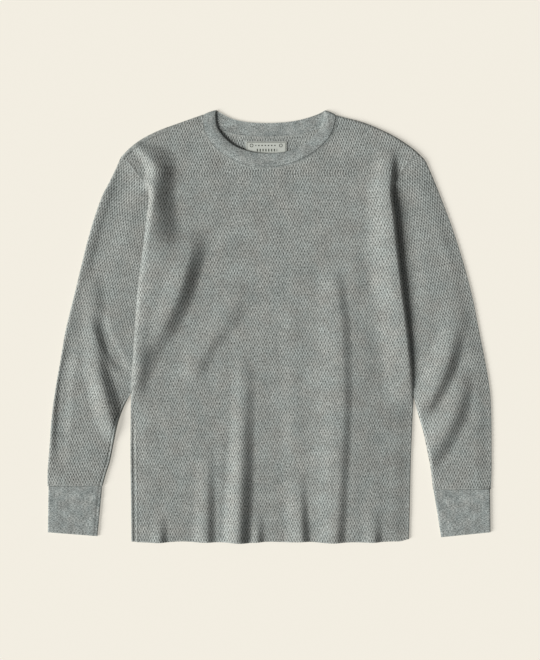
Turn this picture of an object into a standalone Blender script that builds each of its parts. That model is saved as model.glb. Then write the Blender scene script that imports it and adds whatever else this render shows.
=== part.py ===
"""A long-sleeved thermal top of waffle knit, laid flat on its back with its front up.

Metres, +Z up, +Y towards the neck, +X to the viewer's right as the front is looked at.
The origin is the middle of the top's outline, on the surface that it lies on.

Every piece is a wall of cloth: a grid of places on the garment's outer face, extruded
inwards. The front lies on the back, and each sleeve and cuff is one piece folded flat
round its outer edge, with its seam along the underarm. The front's sides bulge up and
fall over the tops of the sleeves, so the sleeves run in under them.
"""

import math
from typing import NamedTuple

import bmesh
import bpy
from mathutils import Vector

# Cloth
WALL = 0.0018            # waffle knit
BAND_WALL = 0.0022       # neckband and cuffs, plain knit laid double
LABEL_WALL = 0.0010
GAP = 0.0003             # between pieces at a seam
SLANT_GAP = 0.0006       # the same, sideways, where the seam runs aslant
FOLD_GAP = 0.0010        # where the neck seam turns over with the cloth at the shoulders
MERGE = 0.00001

# Heights of the outer faces above the surface
FRONT_TOP = 0.0062
SLEEVE_TOP = 0.0060
CUFF_TOP = 0.0056
SIDE_RIM = 0.0030        # where front and back meet along the sides and shoulders

# How far in from an edge the cloth takes to turn over it
SIDE_ROLL = 0.0060
SHOULDER_ROLL = 0.0065
SLEEVE_ROLL = 0.0065
CUFF_ROLL = 0.0045
ROLL_STEPS = 3           # grid columns round an edge of the front and the neckband
PLAIN_ROLL_STEPS = 2     # the same on the other pieces
LEAN_STEP = 0.0015       # either way, over which a fold's or the shoulder's lean is measured
ROLL_LARGEST_SHARE = 0.4 # of a sleeve's width, where it is narrower than its rolls
SPLIT_BLEND = 0.020      # over which the back's edge turns up below the underarm
SHARP_ANGLE = 50.0       # degrees; edges turning more than this are shaded sharp

HEM_Y = -0.3506
BACK_HEM_SHORTER = 0.0020
CUFF_STEP = 0.0016       # a cuff is narrower than its sleeve by this much on each side
LABEL_X = (-0.0380, 0.0275)
LABEL_Y = (0.2730, 0.2990)

# The neck stands a little open: the cloth round it lies higher than the chest
NECK_CENTRE = (0.0010, 0.3490)
NECK_RADII = (0.0990, 0.0820)
NECK_RISE_LEFT = 0.0052
NECK_RISE_RIGHT = 0.0036
NECK_RISE_MIDDLE = 0.0020
NECK_RISE_FADE = 0.42


class EdgeRow(NamedTuple):
    """One level of the front's side edge, from the hem up to the tip of the shoulder."""

    y: float
    x: float
    rim: float           # height of the edge
    roll: float          # width over which the cloth turns down to it
    turned: float        # 1 where the edge turns under, 0 where it is sewn flat to the sleeve


LEFT_EDGE = (
    EdgeRow(-0.3506, -0.2240, 0.0030, 0.0060, 1.0),
    EdgeRow(-0.2830, -0.2248, 0.0030, 0.0060, 1.0),
    EdgeRow(-0.2000, -0.2257, 0.0030, 0.0060, 1.0),
    EdgeRow(-0.1350, -0.2252, 0.0030, 0.0060, 1.0),
    EdgeRow(-0.1080, -0.2243, 0.0046, 0.0060, 1.0),
    EdgeRow(-0.0860, -0.2233, 0.0078, 0.0062, 1.0),
    EdgeRow(-0.0065, -0.2184, 0.0076, 0.0065, 1.0),
    EdgeRow(0.0585, -0.2136, 0.0074, 0.0070, 1.0),
    EdgeRow(0.1235, -0.2054, 0.0074, 0.0075, 1.0),
    EdgeRow(0.1805, -0.1988, 0.0074, 0.0075, 1.0),
    EdgeRow(0.2127, -0.1948, 0.0090, 0.0085, 0.7),
    EdgeRow(0.2320, -0.2037, 0.0074, 0.0110, 0.0),
    EdgeRow(0.2500, -0.2172, 0.0064, 0.0110, 0.0),
    EdgeRow(0.2660, -0.2300, 0.0060, 0.0100, 0.0),
    EdgeRow(0.2736, -0.2412, 0.0045, 0.0080, 0.0),
)
RIGHT_EDGE = (
    EdgeRow(-0.3506, 0.2262, 0.0030, 0.0060, 1.0),
    EdgeRow(-0.2830, 0.2277, 0.0030, 0.0060, 1.0),
    EdgeRow(-0.2210, 0.2291, 0.0030, 0.0060, 1.0),
    EdgeRow(-0.1450, 0.2322, 0.0030, 0.0060, 1.0),
    EdgeRow(-0.1150, 0.2337, 0.0046, 0.0060, 1.0),
    EdgeRow(-0.0930, 0.2330, 0.0078, 0.0070, 1.0),
    EdgeRow(-0.0065, 0.2250, 0.0074, 0.0080, 1.0),
    EdgeRow(0.0585, 0.2168, 0.0074, 0.0085, 1.0),
    EdgeRow(0.1235, 0.2090, 0.0074, 0.0090, 1.0),
    EdgeRow(0.1770, 0.2036, 0.0074, 0.0090, 1.0),
    EdgeRow(0.2190, 0.1986, 0.0090, 0.0095, 0.7),
    EdgeRow(0.2380, 0.2068, 0.0074, 0.0110, 0.0),
    EdgeRow(0.2560, 0.2177, 0.0064, 0.0110, 0.0),
    EdgeRow(0.2730, 0.2308, 0.0060, 0.0100, 0.0),
    EdgeRow(0.2814, 0.2404, 0.0045, 0.0080, 0.0),
)


class HiddenRow(NamedTuple):
    """How far in from the front's edge the sleeve and the back meet under it."""

    y: float
    inset: float


LEFT_HIDDEN = (
    HiddenRow(-0.1080, 0.0),
    HiddenRow(-0.0860, 0.0005),
    HiddenRow(-0.0300, 0.0070),
    HiddenRow(0.0585, 0.0085),
    HiddenRow(0.1400, 0.0080),
    HiddenRow(0.2127, 0.0),
)
RIGHT_HIDDEN = (
    HiddenRow(-0.1150, 0.0),
    HiddenRow(-0.0930, 0.0005),
    HiddenRow(-0.0400, 0.0070),
    HiddenRow(0.0585, 0.0085),
    HiddenRow(0.1450, 0.0080),
    HiddenRow(0.2190, 0.0),
)


class OutlineRow(NamedTuple):
    """One point of the shoulder line, from a shoulder's tip to the top of the neck."""

    x: float
    y: float


LEFT_SHOULDER = (
    OutlineRow(-0.2412, 0.2736),
    OutlineRow(-0.2269, 0.2884),
    OutlineRow(-0.2079, 0.3027),
    OutlineRow(-0.1795, 0.3170),
    OutlineRow(-0.1500, 0.3279),
    OutlineRow(-0.1080, 0.3427),
    OutlineRow(-0.0861, 0.3506),
)
RIGHT_SHOULDER = (
    OutlineRow(0.0896, 0.3503),
    OutlineRow(0.1096, 0.3418),
    OutlineRow(0.1500, 0.3308),
    OutlineRow(0.1762, 0.3206),
    OutlineRow(0.2049, 0.3063),
    OutlineRow(0.2288, 0.2907),
    OutlineRow(0.2404, 0.2814),
)


class BandRow(NamedTuple):
    """One place round the neckband: its free edge and its seam."""

    edge_x: float
    edge_y: float
    seam_x: float
    seam_y: float


FRONT_BAND = (
    BandRow(-0.0861, 0.3506, -0.1080, 0.3427),
    BandRow(-0.0874, 0.3412, -0.1083, 0.3330),
    BandRow(-0.0845, 0.3235, -0.1058, 0.3165),
    BandRow(-0.0740, 0.3070, -0.0945, 0.2965),
    BandRow(-0.0545, 0.2915, -0.0705, 0.2752),
    BandRow(-0.0300, 0.2830, -0.0398, 0.2614),
    BandRow(-0.0040, 0.2802, -0.0072, 0.2567),
    BandRow(0.0220, 0.2818, 0.0252, 0.2590),
    BandRow(0.0479, 0.2903, 0.0585, 0.2712),
    BandRow(0.0690, 0.3053, 0.0861, 0.2907),
    BandRow(0.0828, 0.3224, 0.1025, 0.3105),
    BandRow(0.0875, 0.3410, 0.1092, 0.3320),
    BandRow(0.0896, 0.3503, 0.1096, 0.3418),
)
BACK_BAND = (
    BandRow(0.0896, 0.3503, 0.1096, 0.3418),
    BandRow(0.0804, 0.3443, 0.0998, 0.3320),
    BandRow(0.0609, 0.3373, 0.0723, 0.3175),
    BandRow(0.0333, 0.3313, 0.0365, 0.3098),
    BandRow(-0.0040, 0.3290, -0.0040, 0.3076),
    BandRow(-0.0382, 0.3310, -0.0430, 0.3092),
    BandRow(-0.0609, 0.3363, -0.0723, 0.3159),
    BandRow(-0.0771, 0.3444, -0.0982, 0.3321),
    BandRow(-0.0861, 0.3506, -0.1080, 0.3427),
)
FRONT_BAND_STEPS = 2     # grid columns for each row of the table
BAND_ROW_GAP = 0.0085    # from a fold of the band to the next row of the table
BAND_LAST_TURN = 0.85    # the last extra place at a fold, as a share of the way to the next one
BAND_WIDTH_SHARES = (0.0, 0.25, 0.6, 1.0)
LABEL_SHARES = (0.0, 0.25, 0.5, 0.75, 1.0)


class SleeveRow(NamedTuple):
    """One line across a sleeve, from its outer fold to its armhole or underarm edge."""

    outer_x: float
    outer_y: float
    inner_x: float       # only below the underarm; above it the armhole gives it
    inner_y: float


LEFT_SLEEVE_CAP = (
    SleeveRow(-0.2423, 0.2716, 0.0, 0.2660),
    SleeveRow(-0.2485, 0.2574, 0.0, 0.2500),
    SleeveRow(-0.2549, 0.2440, 0.0, 0.2320),
    SleeveRow(-0.2612, 0.2310, 0.0, 0.2127),
    SleeveRow(-0.2722, 0.2098, 0.0, 0.1850),
    SleeveRow(-0.2840, 0.1770, 0.0, 0.1500),
    SleeveRow(-0.2960, 0.1360, 0.0, 0.1100),
    SleeveRow(-0.3076, 0.0890, 0.0, 0.0680),
    SleeveRow(-0.3194, 0.0405, 0.0, 0.0250),
    SleeveRow(-0.3313, -0.0085, 0.0, -0.0200),
    SleeveRow(-0.3391, -0.0540, 0.0, -0.0580),
    SleeveRow(-0.3446, -0.0850, 0.0, -0.0860),
    SleeveRow(-0.3484, -0.1080, 0.0, -0.1080),
)
LEFT_FOREARM = (
    SleeveRow(-0.3521, -0.1330, -0.2404, -0.1330),
    SleeveRow(-0.3546, -0.1592, -0.2509, -0.1592),
    SleeveRow(-0.3566, -0.1884, -0.2556, -0.1910),
    SleeveRow(-0.3589, -0.2176, -0.2592, -0.2192),
    SleeveRow(-0.3603, -0.2400, -0.2652, -0.2402),
    SleeveRow(-0.3600, -0.2598, -0.2704, -0.2588),
)
RIGHT_SLEEVE_CAP = (
    SleeveRow(0.2424, 0.2794, 0.0, 0.2730),
    SleeveRow(0.2525, 0.2688, 0.0, 0.2560),
    SleeveRow(0.2586, 0.2560, 0.0, 0.2380),
    SleeveRow(0.2638, 0.2440, 0.0, 0.2190),
    SleeveRow(0.2736, 0.2201, 0.0, 0.1900),
    SleeveRow(0.2874, 0.1843, 0.0, 0.1530),
    SleeveRow(0.3019, 0.1437, 0.0, 0.1110),
    SleeveRow(0.3175, 0.0926, 0.0, 0.0650),
    SleeveRow(0.3300, 0.0440, 0.0, 0.0200),
    SleeveRow(0.3397, -0.0060, 0.0, -0.0250),
    SleeveRow(0.3492, -0.0530, 0.0, -0.0640),
    SleeveRow(0.3553, -0.0880, 0.0, -0.0930),
    SleeveRow(0.3586, -0.1150, 0.0, -0.1150),
)
RIGHT_FOREARM = (
    SleeveRow(0.3598, -0.1440, 0.2412, -0.1440),
    SleeveRow(0.3603, -0.1738, 0.2498, -0.1738),
    SleeveRow(0.3603, -0.2014, 0.2558, -0.2026),
    SleeveRow(0.3603, -0.2330, 0.2616, -0.2335),
    SleeveRow(0.3593, -0.2642, 0.2652, -0.2655),
)


class CuffEnd(NamedTuple):
    """The open end of a cuff: its outer corner and its underarm corner."""

    outer_x: float
    outer_y: float
    inner_x: float
    inner_y: float


LEFT_CUFF_END = CuffEnd(-0.3596, -0.3345, -0.2790, -0.3408)
RIGHT_CUFF_END = CuffEnd(0.3584, -0.3345, 0.2783, -0.3425)
CUFF_ROWS = 4
SLEEVE_COLUMNS = (9, 2)  # on the upper and the lower layer, between the rolls
CUFF_COLUMNS = (4, 2)


class CrestRow(NamedTuple):
    """One place along the crest of a fold, or along the bottom of a hollow (height below 0)."""

    y: float
    x: float
    height: float
    left: float          # width of the slope on the -X side
    right: float         # width of the slope on the +X side


FRONT_FOLDS = {
    "left side bulge": (
        CrestRow(-0.1250, -0.2215, 0.0000, 0.014, 0.026),
        CrestRow(-0.0860, -0.2170, 0.0050, 0.014, 0.028),
        CrestRow(0.0000, -0.2110, 0.0075, 0.015, 0.028),
        CrestRow(0.1000, -0.2000, 0.0085, 0.016, 0.034),
        CrestRow(0.1965, -0.1925, 0.0095, 0.015, 0.042),
        CrestRow(0.2450, -0.1915, 0.0080, 0.018, 0.040),
        CrestRow(0.2850, -0.2040, 0.0000, 0.020, 0.030),
    ),
    "left underarm bulge": (
        CrestRow(-0.1200, -0.2150, 0.0000, 0.030, 0.022),
        CrestRow(-0.0800, -0.2060, 0.0045, 0.030, 0.026),
        CrestRow(-0.0250, -0.1930, 0.0065, 0.045, 0.030),
        CrestRow(0.0450, -0.1530, 0.0070, 0.060, 0.030),
        CrestRow(0.1000, -0.1400, 0.0050, 0.060, 0.030),
        CrestRow(0.1450, -0.1350, 0.0000, 0.060, 0.030),
    ),
    "right side bulge": (
        CrestRow(-0.1350, 0.2270, 0.0000, 0.040, 0.020),
        CrestRow(-0.0880, 0.2245, 0.0050, 0.045, 0.022),
        CrestRow(0.0000, 0.2155, 0.0065, 0.050, 0.026),
        CrestRow(0.1200, 0.2000, 0.0075, 0.055, 0.030),
        CrestRow(0.1900, 0.1915, 0.0078, 0.052, 0.034),
        CrestRow(0.2350, 0.1880, 0.0055, 0.040, 0.022),
        CrestRow(0.2900, 0.1880, 0.0000, 0.030, 0.020),
    ),
    "right shoulder hollow": (
        CrestRow(0.2050, 0.1990, 0.0000, 0.012, 0.012),
        CrestRow(0.2350, 0.2005, -0.0028, 0.012, 0.014),
        CrestRow(0.2600, 0.2020, -0.0022, 0.012, 0.014),
        CrestRow(0.2880, 0.2030, 0.0000, 0.012, 0.014),
    ),
    "long fold left of the middle": (
        CrestRow(-0.3506, -0.0575, 0.0062, 0.020, 0.019),
        CrestRow(-0.2500, -0.0530, 0.0048, 0.020, 0.019),
        CrestRow(-0.1500, -0.0490, 0.0030, 0.020, 0.018),
        CrestRow(-0.0650, -0.0460, 0.0000, 0.018, 0.018),
    ),
    "long fold right of the middle": (
        CrestRow(-0.3506, 0.1050, 0.0046, 0.034, 0.017),
        CrestRow(-0.2500, 0.1115, 0.0040, 0.040, 0.017),
        CrestRow(-0.1200, 0.1175, 0.0036, 0.042, 0.017),
        CrestRow(0.0000, 0.1165, 0.0032, 0.042, 0.017),
        CrestRow(0.1050, 0.1090, 0.0000, 0.030, 0.017),
    ),
    "short fold at the hem": (
        CrestRow(-0.3506, 0.0500, 0.0036, 0.030, 0.018),
        CrestRow(-0.3050, 0.0475, 0.0022, 0.028, 0.018),
        CrestRow(-0.2350, 0.0440, 0.0000, 0.026, 0.018),
    ),
    "small fold at the hem": (
        CrestRow(-0.3506, -0.1065, 0.0030, 0.020, 0.016),
        CrestRow(-0.2900, -0.1060, 0.0018, 0.020, 0.016),
        CrestRow(-0.2000, -0.1050, 0.0000, 0.020, 0.016),
    ),
    "slanting fold below the chest": (
        CrestRow(-0.0950, -0.1175, 0.0000, 0.030, 0.020),
        CrestRow(-0.0400, -0.1000, 0.0024, 0.030, 0.022),
        CrestRow(0.0000, -0.0870, 0.0020, 0.030, 0.024),
        CrestRow(0.0500, -0.0700, 0.0000, 0.030, 0.024),
    ),
    "faint ridge down the middle": (
        CrestRow(-0.2300, 0.0385, 0.0000, 0.026, 0.028),
        CrestRow(-0.1400, 0.0380, 0.0012, 0.026, 0.028),
        CrestRow(0.0000, 0.0370, 0.0012, 0.026, 0.028),
        CrestRow(0.0800, 0.0365, 0.0000, 0.026, 0.028),
    ),
    "faint ridge on the chest": (
        CrestRow(0.0400, 0.1420, 0.0000, 0.024, 0.030),
        CrestRow(0.0850, 0.1350, 0.0016, 0.024, 0.030),
        CrestRow(0.1300, 0.1300, 0.0000, 0.024, 0.030),
    ),
}
LEFT_SLEEVE_FOLDS = {
    "forearm fold": (
        CrestRow(-0.1800, -0.2600, 0.0000, 0.020, 0.016),
        CrestRow(-0.1450, -0.2680, 0.0042, 0.024, 0.018),
        CrestRow(-0.1000, -0.2790, 0.0050, 0.024, 0.020),
        CrestRow(-0.0400, -0.2900, 0.0040, 0.024, 0.020),
        CrestRow(0.0550, -0.2980, 0.0000, 0.020, 0.018),
    ),
    "elbow hollow": (
        CrestRow(-0.0700, -0.2380, 0.0000, 0.018, 0.018),
        CrestRow(-0.0400, -0.2620, -0.0012, 0.018, 0.018),
        CrestRow(0.0100, -0.2790, -0.0012, 0.018, 0.018),
        CrestRow(0.0500, -0.2830, 0.0000, 0.018, 0.018),
    ),
    "hollow along the upper fold": (
        CrestRow(0.1050, -0.2860, 0.0000, 0.014, 0.018),
        CrestRow(0.1700, -0.2680, -0.0014, 0.014, 0.018),
        CrestRow(0.2150, -0.2560, -0.0014, 0.014, 0.018),
        CrestRow(0.2560, -0.2450, 0.0000, 0.014, 0.018),
    ),
    "hollow along the lower fold": (
        CrestRow(-0.2250, -0.3440, 0.0000, 0.014, 0.018),
        CrestRow(-0.1500, -0.3410, -0.0014, 0.014, 0.018),
        CrestRow(-0.0877, -0.3370, -0.0014, 0.014, 0.018),
        CrestRow(-0.0100, -0.3190, 0.0000, 0.014, 0.018),
    ),
}
RIGHT_SLEEVE_FOLDS = {
    "upper forearm fold": (
        CrestRow(-0.1350, 0.2480, 0.0000, 0.026, 0.018),
        CrestRow(-0.1150, 0.2560, 0.0026, 0.030, 0.020),
        CrestRow(-0.0800, 0.2740, 0.0034, 0.032, 0.020),
        CrestRow(-0.0450, 0.2870, 0.0028, 0.030, 0.020),
        CrestRow(-0.0050, 0.2960, 0.0000, 0.026, 0.020),
    ),
    "lower forearm fold": (
        CrestRow(-0.2200, 0.2590, 0.0000, 0.026, 0.018),
        CrestRow(-0.1900, 0.2680, 0.0026, 0.030, 0.020),
        CrestRow(-0.1550, 0.2920, 0.0036, 0.034, 0.020),
        CrestRow(-0.1200, 0.3080, 0.0028, 0.034, 0.020),
        CrestRow(-0.0800, 0.3190, 0.0000, 0.030, 0.020),
    ),
    "upper arm ridge": (
        CrestRow(0.0100, 0.2500, 0.0000, 0.024, 0.030),
        CrestRow(0.0600, 0.2540, 0.0010, 0.024, 0.030),
        CrestRow(0.1150, 0.2560, 0.0000, 0.024, 0.030),
    ),
}

# Rows of the front's and back's grids below the underarm, on each side
BODY_ROWS = (
    (-0.3506, -0.3506), (-0.3390, -0.3390), (-0.3200, -0.3200), (-0.2950, -0.2950),
    (-0.2650, -0.2650), (-0.2300, -0.2320), (-0.1950, -0.1980), (-0.1600, -0.1650),
    (-0.1310, -0.1370),
)
SHOULDER_COLUMNS = 7     # of the front, on each shoulder
BACK_SHOULDER_COLUMNS = 3
NECK_FOOT_X = 0.1180     # where the lines down from the neck's corners reach the hem

GREY_KNIT = ("waffle_cotton_grey", (0.262, 0.282, 0.262, 1.0), 0.92)
GREY_RIB = ("plain_knit_grey", (0.290, 0.312, 0.298, 1.0), 0.90)
WOVEN_LABEL = ("woven_label", (0.560, 0.560, 0.500, 1.0), 0.75)


def smooth_at(rows, where, column):
    """A column of a table at a place along its first column, with no overshoot."""
    where = min(max(where, rows[0][0]), rows[-1][0])
    last = len(rows) - 1
    index = 0
    while index < last - 1 and rows[index + 1][0] < where:
        index += 1

    def slope(k):
        return (rows[k + 1][column] - rows[k][column]) / (rows[k + 1][0] - rows[k][0])

    def tangent(k):
        if k == 0:
            return slope(0)
        if k == last:
            return slope(last - 1)
        before = slope(k - 1)
        after = slope(k)
        if before * after <= 0.0:
            return 0.0
        return 2.0 * before * after / (before + after)

    span = rows[index + 1][0] - rows[index][0]
    t = (where - rows[index][0]) / span
    start = rows[index][column]
    end = rows[index + 1][column]
    return (
        start * (1 + 2 * t) * (1 - t) ** 2
        + tangent(index) * span * t * (1 - t) ** 2
        + end * t * t * (3 - 2 * t)
        + tangent(index + 1) * span * t * t * (t - 1)
    )


def row_between(rows, place):
    """A smooth curve through a table's rows, read at a row number with a fraction."""
    index = min(int(place), len(rows) - 2)
    t = place - index
    before = rows[max(index - 1, 0)]
    start = rows[index]
    end = rows[index + 1]
    after = rows[min(index + 2, len(rows) - 1)]
    return tuple(
        0.5 * (2 * b + (c - a) * t + (2 * a - 5 * b + 4 * c - d) * t * t
               + (3 * b - a - 3 * c + d) * t ** 3)
        for a, b, c, d in zip(before, start, end, after)
    )


def mix(a, b, share):
    """A value part of the way from a to b."""
    return a + (b - a) * share


def turn(distance, roll):
    """How far the cloth has come up at a distance from an edge: 0 at the edge, 1 past the roll."""
    near = min(max(distance / roll, 0.0), 1.0)
    return math.sqrt(1.0 - (1.0 - near) ** 2)


def fold_height(folds, x, y):
    """What all the folds of a set add at a place."""
    total = 0.0
    for crest in folds.values():
        if not crest[0].y <= y <= crest[-1].y:
            continue
        _, middle, height, left, right = (smooth_at(crest, y, column) for column in range(5))
        lean = smooth_at(crest, y + LEAN_STEP, 1) - smooth_at(crest, y - LEAN_STEP, 1)
        across = (x - middle) / math.hypot(1.0, lean / (2 * LEAN_STEP))
        width = right if across > 0.0 else left
        if abs(across) < width:
            total += height * 0.5 * (1.0 + math.cos(math.pi * across / width))
    return total


def neck_rise(x, y):
    """How much higher than the chest the cloth round the neck lies."""
    across = (x - NECK_CENTRE[0]) / NECK_RADII[0]
    along = (y - NECK_CENTRE[1]) / NECK_RADII[1]
    out = max(math.hypot(across, along) - 1.0, 0.0) / NECK_RISE_FADE
    side = NECK_RISE_RIGHT if across > 0.0 else NECK_RISE_LEFT
    rise = mix(NECK_RISE_MIDDLE, side, min(across * across, 1.0))
    return rise * math.exp(-out * out)


def shoulder_line(x):
    """Height up the plan of the shoulder's fold at x."""
    table = LEFT_SHOULDER if x < 0.0 else RIGHT_SHOULDER
    return smooth_at(table, x, 1)


def shoulder_turn(x, y):
    """The turn of the cloth over the shoulder, and the way out over it."""
    lean = shoulder_line(x + LEAN_STEP) - shoulder_line(x - LEAN_STEP)
    out = Vector((-lean, 2 * LEAN_STEP, 0.0)).normalized()
    return turn((shoulder_line(x) - y) * out.y, SHOULDER_ROLL), out


def front_point(x, y):
    """The front's outer face at a place in the plan, and the way out of the cloth there."""
    table, side = (LEFT_EDGE, -1.0) if x < 0.0 else (RIGHT_EDGE, 1.0)
    edge = smooth_at(table, y, 1)
    rim = smooth_at(table, y, 2)
    over_side = turn(abs(edge) - abs(x), smooth_at(table, y, 3))
    turned = smooth_at(table, y, 4)
    over_shoulder, shoulder_out = shoulder_turn(x, y)
    level = FRONT_TOP + neck_rise(x, y) + fold_height(FRONT_FOLDS, x, y)
    level = rim + (level - rim) * over_side
    height = SIDE_RIM + (level - SIDE_RIM) * over_shoulder
    sideways = Vector((side, 0.0, 0.0)) * math.sqrt(1.0 - over_side ** 2) * turned
    upwards = shoulder_out * math.sqrt(1.0 - over_shoulder ** 2)
    straight_up = Vector((0.0, 0.0, 1.0)) * max(over_side, 1.0 - turned) * over_shoulder
    return Vector((x, y, height)), (sideways + upwards + straight_up).normalized()


def back_edge(y, side):
    """The back's side edge: the front's own, or further in where the sleeve lies under it."""
    table, hidden = (LEFT_EDGE, LEFT_HIDDEN) if side < 0.0 else (RIGHT_EDGE, RIGHT_HIDDEN)
    return smooth_at(table, y, 1) - side * smooth_at(hidden, y, 1)


def back_point(x, y):
    """The back's outer face, which rests on the surface and turns up at its free edges."""
    side = -1.0 if x < 0.0 else 1.0
    split = LEFT_HIDDEN[0].y if side < 0.0 else RIGHT_HIDDEN[0].y
    free = min(max((split - y) / SPLIT_BLEND, 0.0), 1.0)
    over_side = mix(1.0, turn(abs(back_edge(y, side)) - abs(x), SIDE_ROLL), free)
    over_shoulder, shoulder_out = shoulder_turn(x, y)
    height = (SIDE_RIM - GAP) * (1.0 - over_side * over_shoulder)
    out = Vector((side, 0.0, 0.0)) * math.sqrt(1.0 - over_side ** 2)
    out += shoulder_out * math.sqrt(1.0 - over_shoulder ** 2)
    out += Vector((0.0, 0.0, -1.0)) * over_side * over_shoulder
    return Vector((x, y, height)), out.normalized()


def roll_places(roll, steps):
    """Distances from an edge that follow its roll evenly, from the edge to the roll's end."""
    return [roll * (1.0 - math.cos(math.pi / 2 * k / steps)) for k in range(steps + 1)]


def knit(name, finish, outer, wall, closed=False):
    """A wall of cloth from rows of (place on the outer face, way out of the cloth)."""
    columns = len(outer[0])
    rows = len(outer)
    mesh = bmesh.new()
    bmesh.ops.create_grid(mesh, x_segments=columns - 1, y_segments=rows - 1, size=1.0)
    inner = mesh.verts.layers.float_vector.new("inner_face")
    for vert in mesh.verts:
        column = round((vert.co.x + 1.0) / 2.0 * (columns - 1))
        row = round((vert.co.y + 1.0) / 2.0 * (rows - 1))
        place, out = outer[row][column]
        vert.co = place
        vert[inner] = place - out * wall
    if closed:
        bmesh.ops.remove_doubles(mesh, verts=mesh.verts[:], dist=MERGE)
    grown = bmesh.ops.extrude_face_region(mesh, geom=mesh.faces[:])
    for vert in grown["geom"]:
        if isinstance(vert, bmesh.types.BMVert):
            vert.co = vert[inner]
    bmesh.ops.recalc_face_normals(mesh, faces=mesh.faces[:])
    data = bpy.data.meshes.new(name)
    mesh.to_mesh(data)
    mesh.free()
    data.shade_smooth()
    data.set_sharp_from_angle(angle=math.radians(SHARP_ANGLE))
    data.materials.append(material(*finish))
    piece = bpy.data.objects.new(name, data)
    bpy.context.collection.objects.link(piece)
    return piece


def material(name, colour, roughness):
    """The knit or woven finish of a piece."""
    found = bpy.data.materials.get(name)
    if found:
        return found
    made = bpy.data.materials.new(name)
    made.use_nodes = True
    shader = made.node_tree.nodes["Principled BSDF"]
    shader.inputs["Base Color"].default_value = colour
    shader.inputs["Roughness"].default_value = roughness
    shader.inputs["Metallic"].default_value = 0.0
    return made


def band_seam(rows, place):
    """The neckband's seam at a row number, moved away from the band by the seam's gap."""
    edge_x, edge_y, seam_x, seam_y = row_between(rows, place)
    at_fold = place < 0.5 or place > len(rows) - 1.5
    gap = FOLD_GAP if at_fold else GAP
    away = Vector((seam_x - edge_x, seam_y - edge_y, 0.0)).normalized() * gap
    return Vector((seam_x, seam_y, 0.0)) + away


def neck_corner(band, side):
    """The plan place where the neck seam meets the shoulder's fold."""
    spot = band_seam(band, 0 if side < 0.0 else len(band) - 1)
    return Vector((spot.x, shoulder_line(spot.x), 0.0))


def panel_levels():
    """The ends of the front's and back's rows on each side, from the hem to the shoulder."""
    levels = list(BODY_ROWS)
    for left, right in zip(reversed(LEFT_SLEEVE_CAP), reversed(RIGHT_SLEEVE_CAP)):
        levels.append((left.inner_y, right.inner_y))
    for place in reversed(roll_places(SHOULDER_ROLL, PLAIN_ROLL_STEPS)[:-1]):
        levels.append((LEFT_EDGE[-1].y - place, RIGHT_EDGE[-1].y - place))
    return levels


def side_strip(edge, corner, neck_x, hem, level, up, columns, steps):
    """One row of the strip between a side edge and the line from the hem to the neck's corner."""
    low = Vector((edge(hem), hem, 0.0))
    high = Vector((edge(corner[0]), corner[0], 0.0))
    near = Vector((edge(level), level, 0.0))
    far = Vector((neck_x, hem, 0.0)).lerp(corner[1], up)
    width = abs(far.x - near.x)
    shares = [place / width for place in roll_places(SIDE_ROLL, steps)]
    shares += [k / columns for k in range(1, columns)]
    line = []
    for share in shares:
        base = low.lerp(Vector((neck_x, hem, 0.0)), share)
        top_x = mix(high.x, corner[1].x, share)
        place = base.lerp(Vector((top_x, shoulder_line(top_x), 0.0)), up)
        line.append(place + (near - low.lerp(high, up)) * (1.0 - share))
    return line


def panel(name, band, band_steps, columns, steps, edge, point, hem):
    """The front or the back: a strip up to each shoulder, and one between the hem and the neck."""
    corners = neck_corner(band, -1.0), neck_corner(band, 1.0)
    tops = LEFT_EDGE[-1].y, RIGHT_EDGE[-1].y
    places = (len(band) - 1) * band_steps
    seam = [band_seam(band, k / band_steps) for k in range(1, places)]
    tops_of_middle = [corners[0], *seam, corners[1]]
    grid = []
    for left_y, right_y in panel_levels():
        left_y = max(left_y, hem)
        right_y = max(right_y, hem)
        up = (left_y + right_y - 2 * hem) / (tops[0] + tops[1] - 2 * hem)
        left = side_strip(lambda y: edge(y, -1.0), (tops[0], corners[0]), -NECK_FOOT_X, hem,
                          left_y, up, columns, steps)
        right = side_strip(lambda y: edge(y, 1.0), (tops[1], corners[1]), NECK_FOOT_X, hem,
                           right_y, up, columns, steps)
        middle = []
        for k, top in enumerate(tops_of_middle):
            foot = Vector((mix(-NECK_FOOT_X, NECK_FOOT_X, k / places), hem, 0.0))
            middle.append(foot.lerp(top, up))
        grid.append([point(spot.x, spot.y) for spot in left + middle + right[::-1]])
    return knit(name, GREY_KNIT, grid, WALL)


def build_front():
    """The front, its sides raised over the tops of the sleeves."""
    def edge(y, side):
        return smooth_at(LEFT_EDGE if side < 0.0 else RIGHT_EDGE, y, 1)

    return panel("front", FRONT_BAND, FRONT_BAND_STEPS, SHOULDER_COLUMNS, ROLL_STEPS,
                 edge, front_point, HEM_Y)


def build_back():
    """The back, flat on the surface."""
    band = tuple(reversed(BACK_BAND))
    return panel("back", band, 1, BACK_SHOULDER_COLUMNS, PLAIN_ROLL_STEPS,
                 back_edge, back_point, HEM_Y + BACK_HEM_SHORTER)


def band_places(band, steps):
    """Rows round half of the neckband, closer together where it turns over at its folds."""
    last = (len(band) - 1) * steps
    places = [row_between(band, k / steps) for k in range(last + 1)]
    turns = [place / BAND_ROW_GAP * steps for place in roll_places(SHOULDER_ROLL, ROLL_STEPS)[1:]]
    turns = [share for share in turns if share < BAND_LAST_TURN]
    start = [tuple(mix(a, b, share) for a, b in zip(places[0], places[1])) for share in turns]
    end = [tuple(mix(a, b, share) for a, b in zip(places[-1], places[-2])) for share in turns]
    return places[:1] + start + places[1:-1] + end[::-1]


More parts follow.
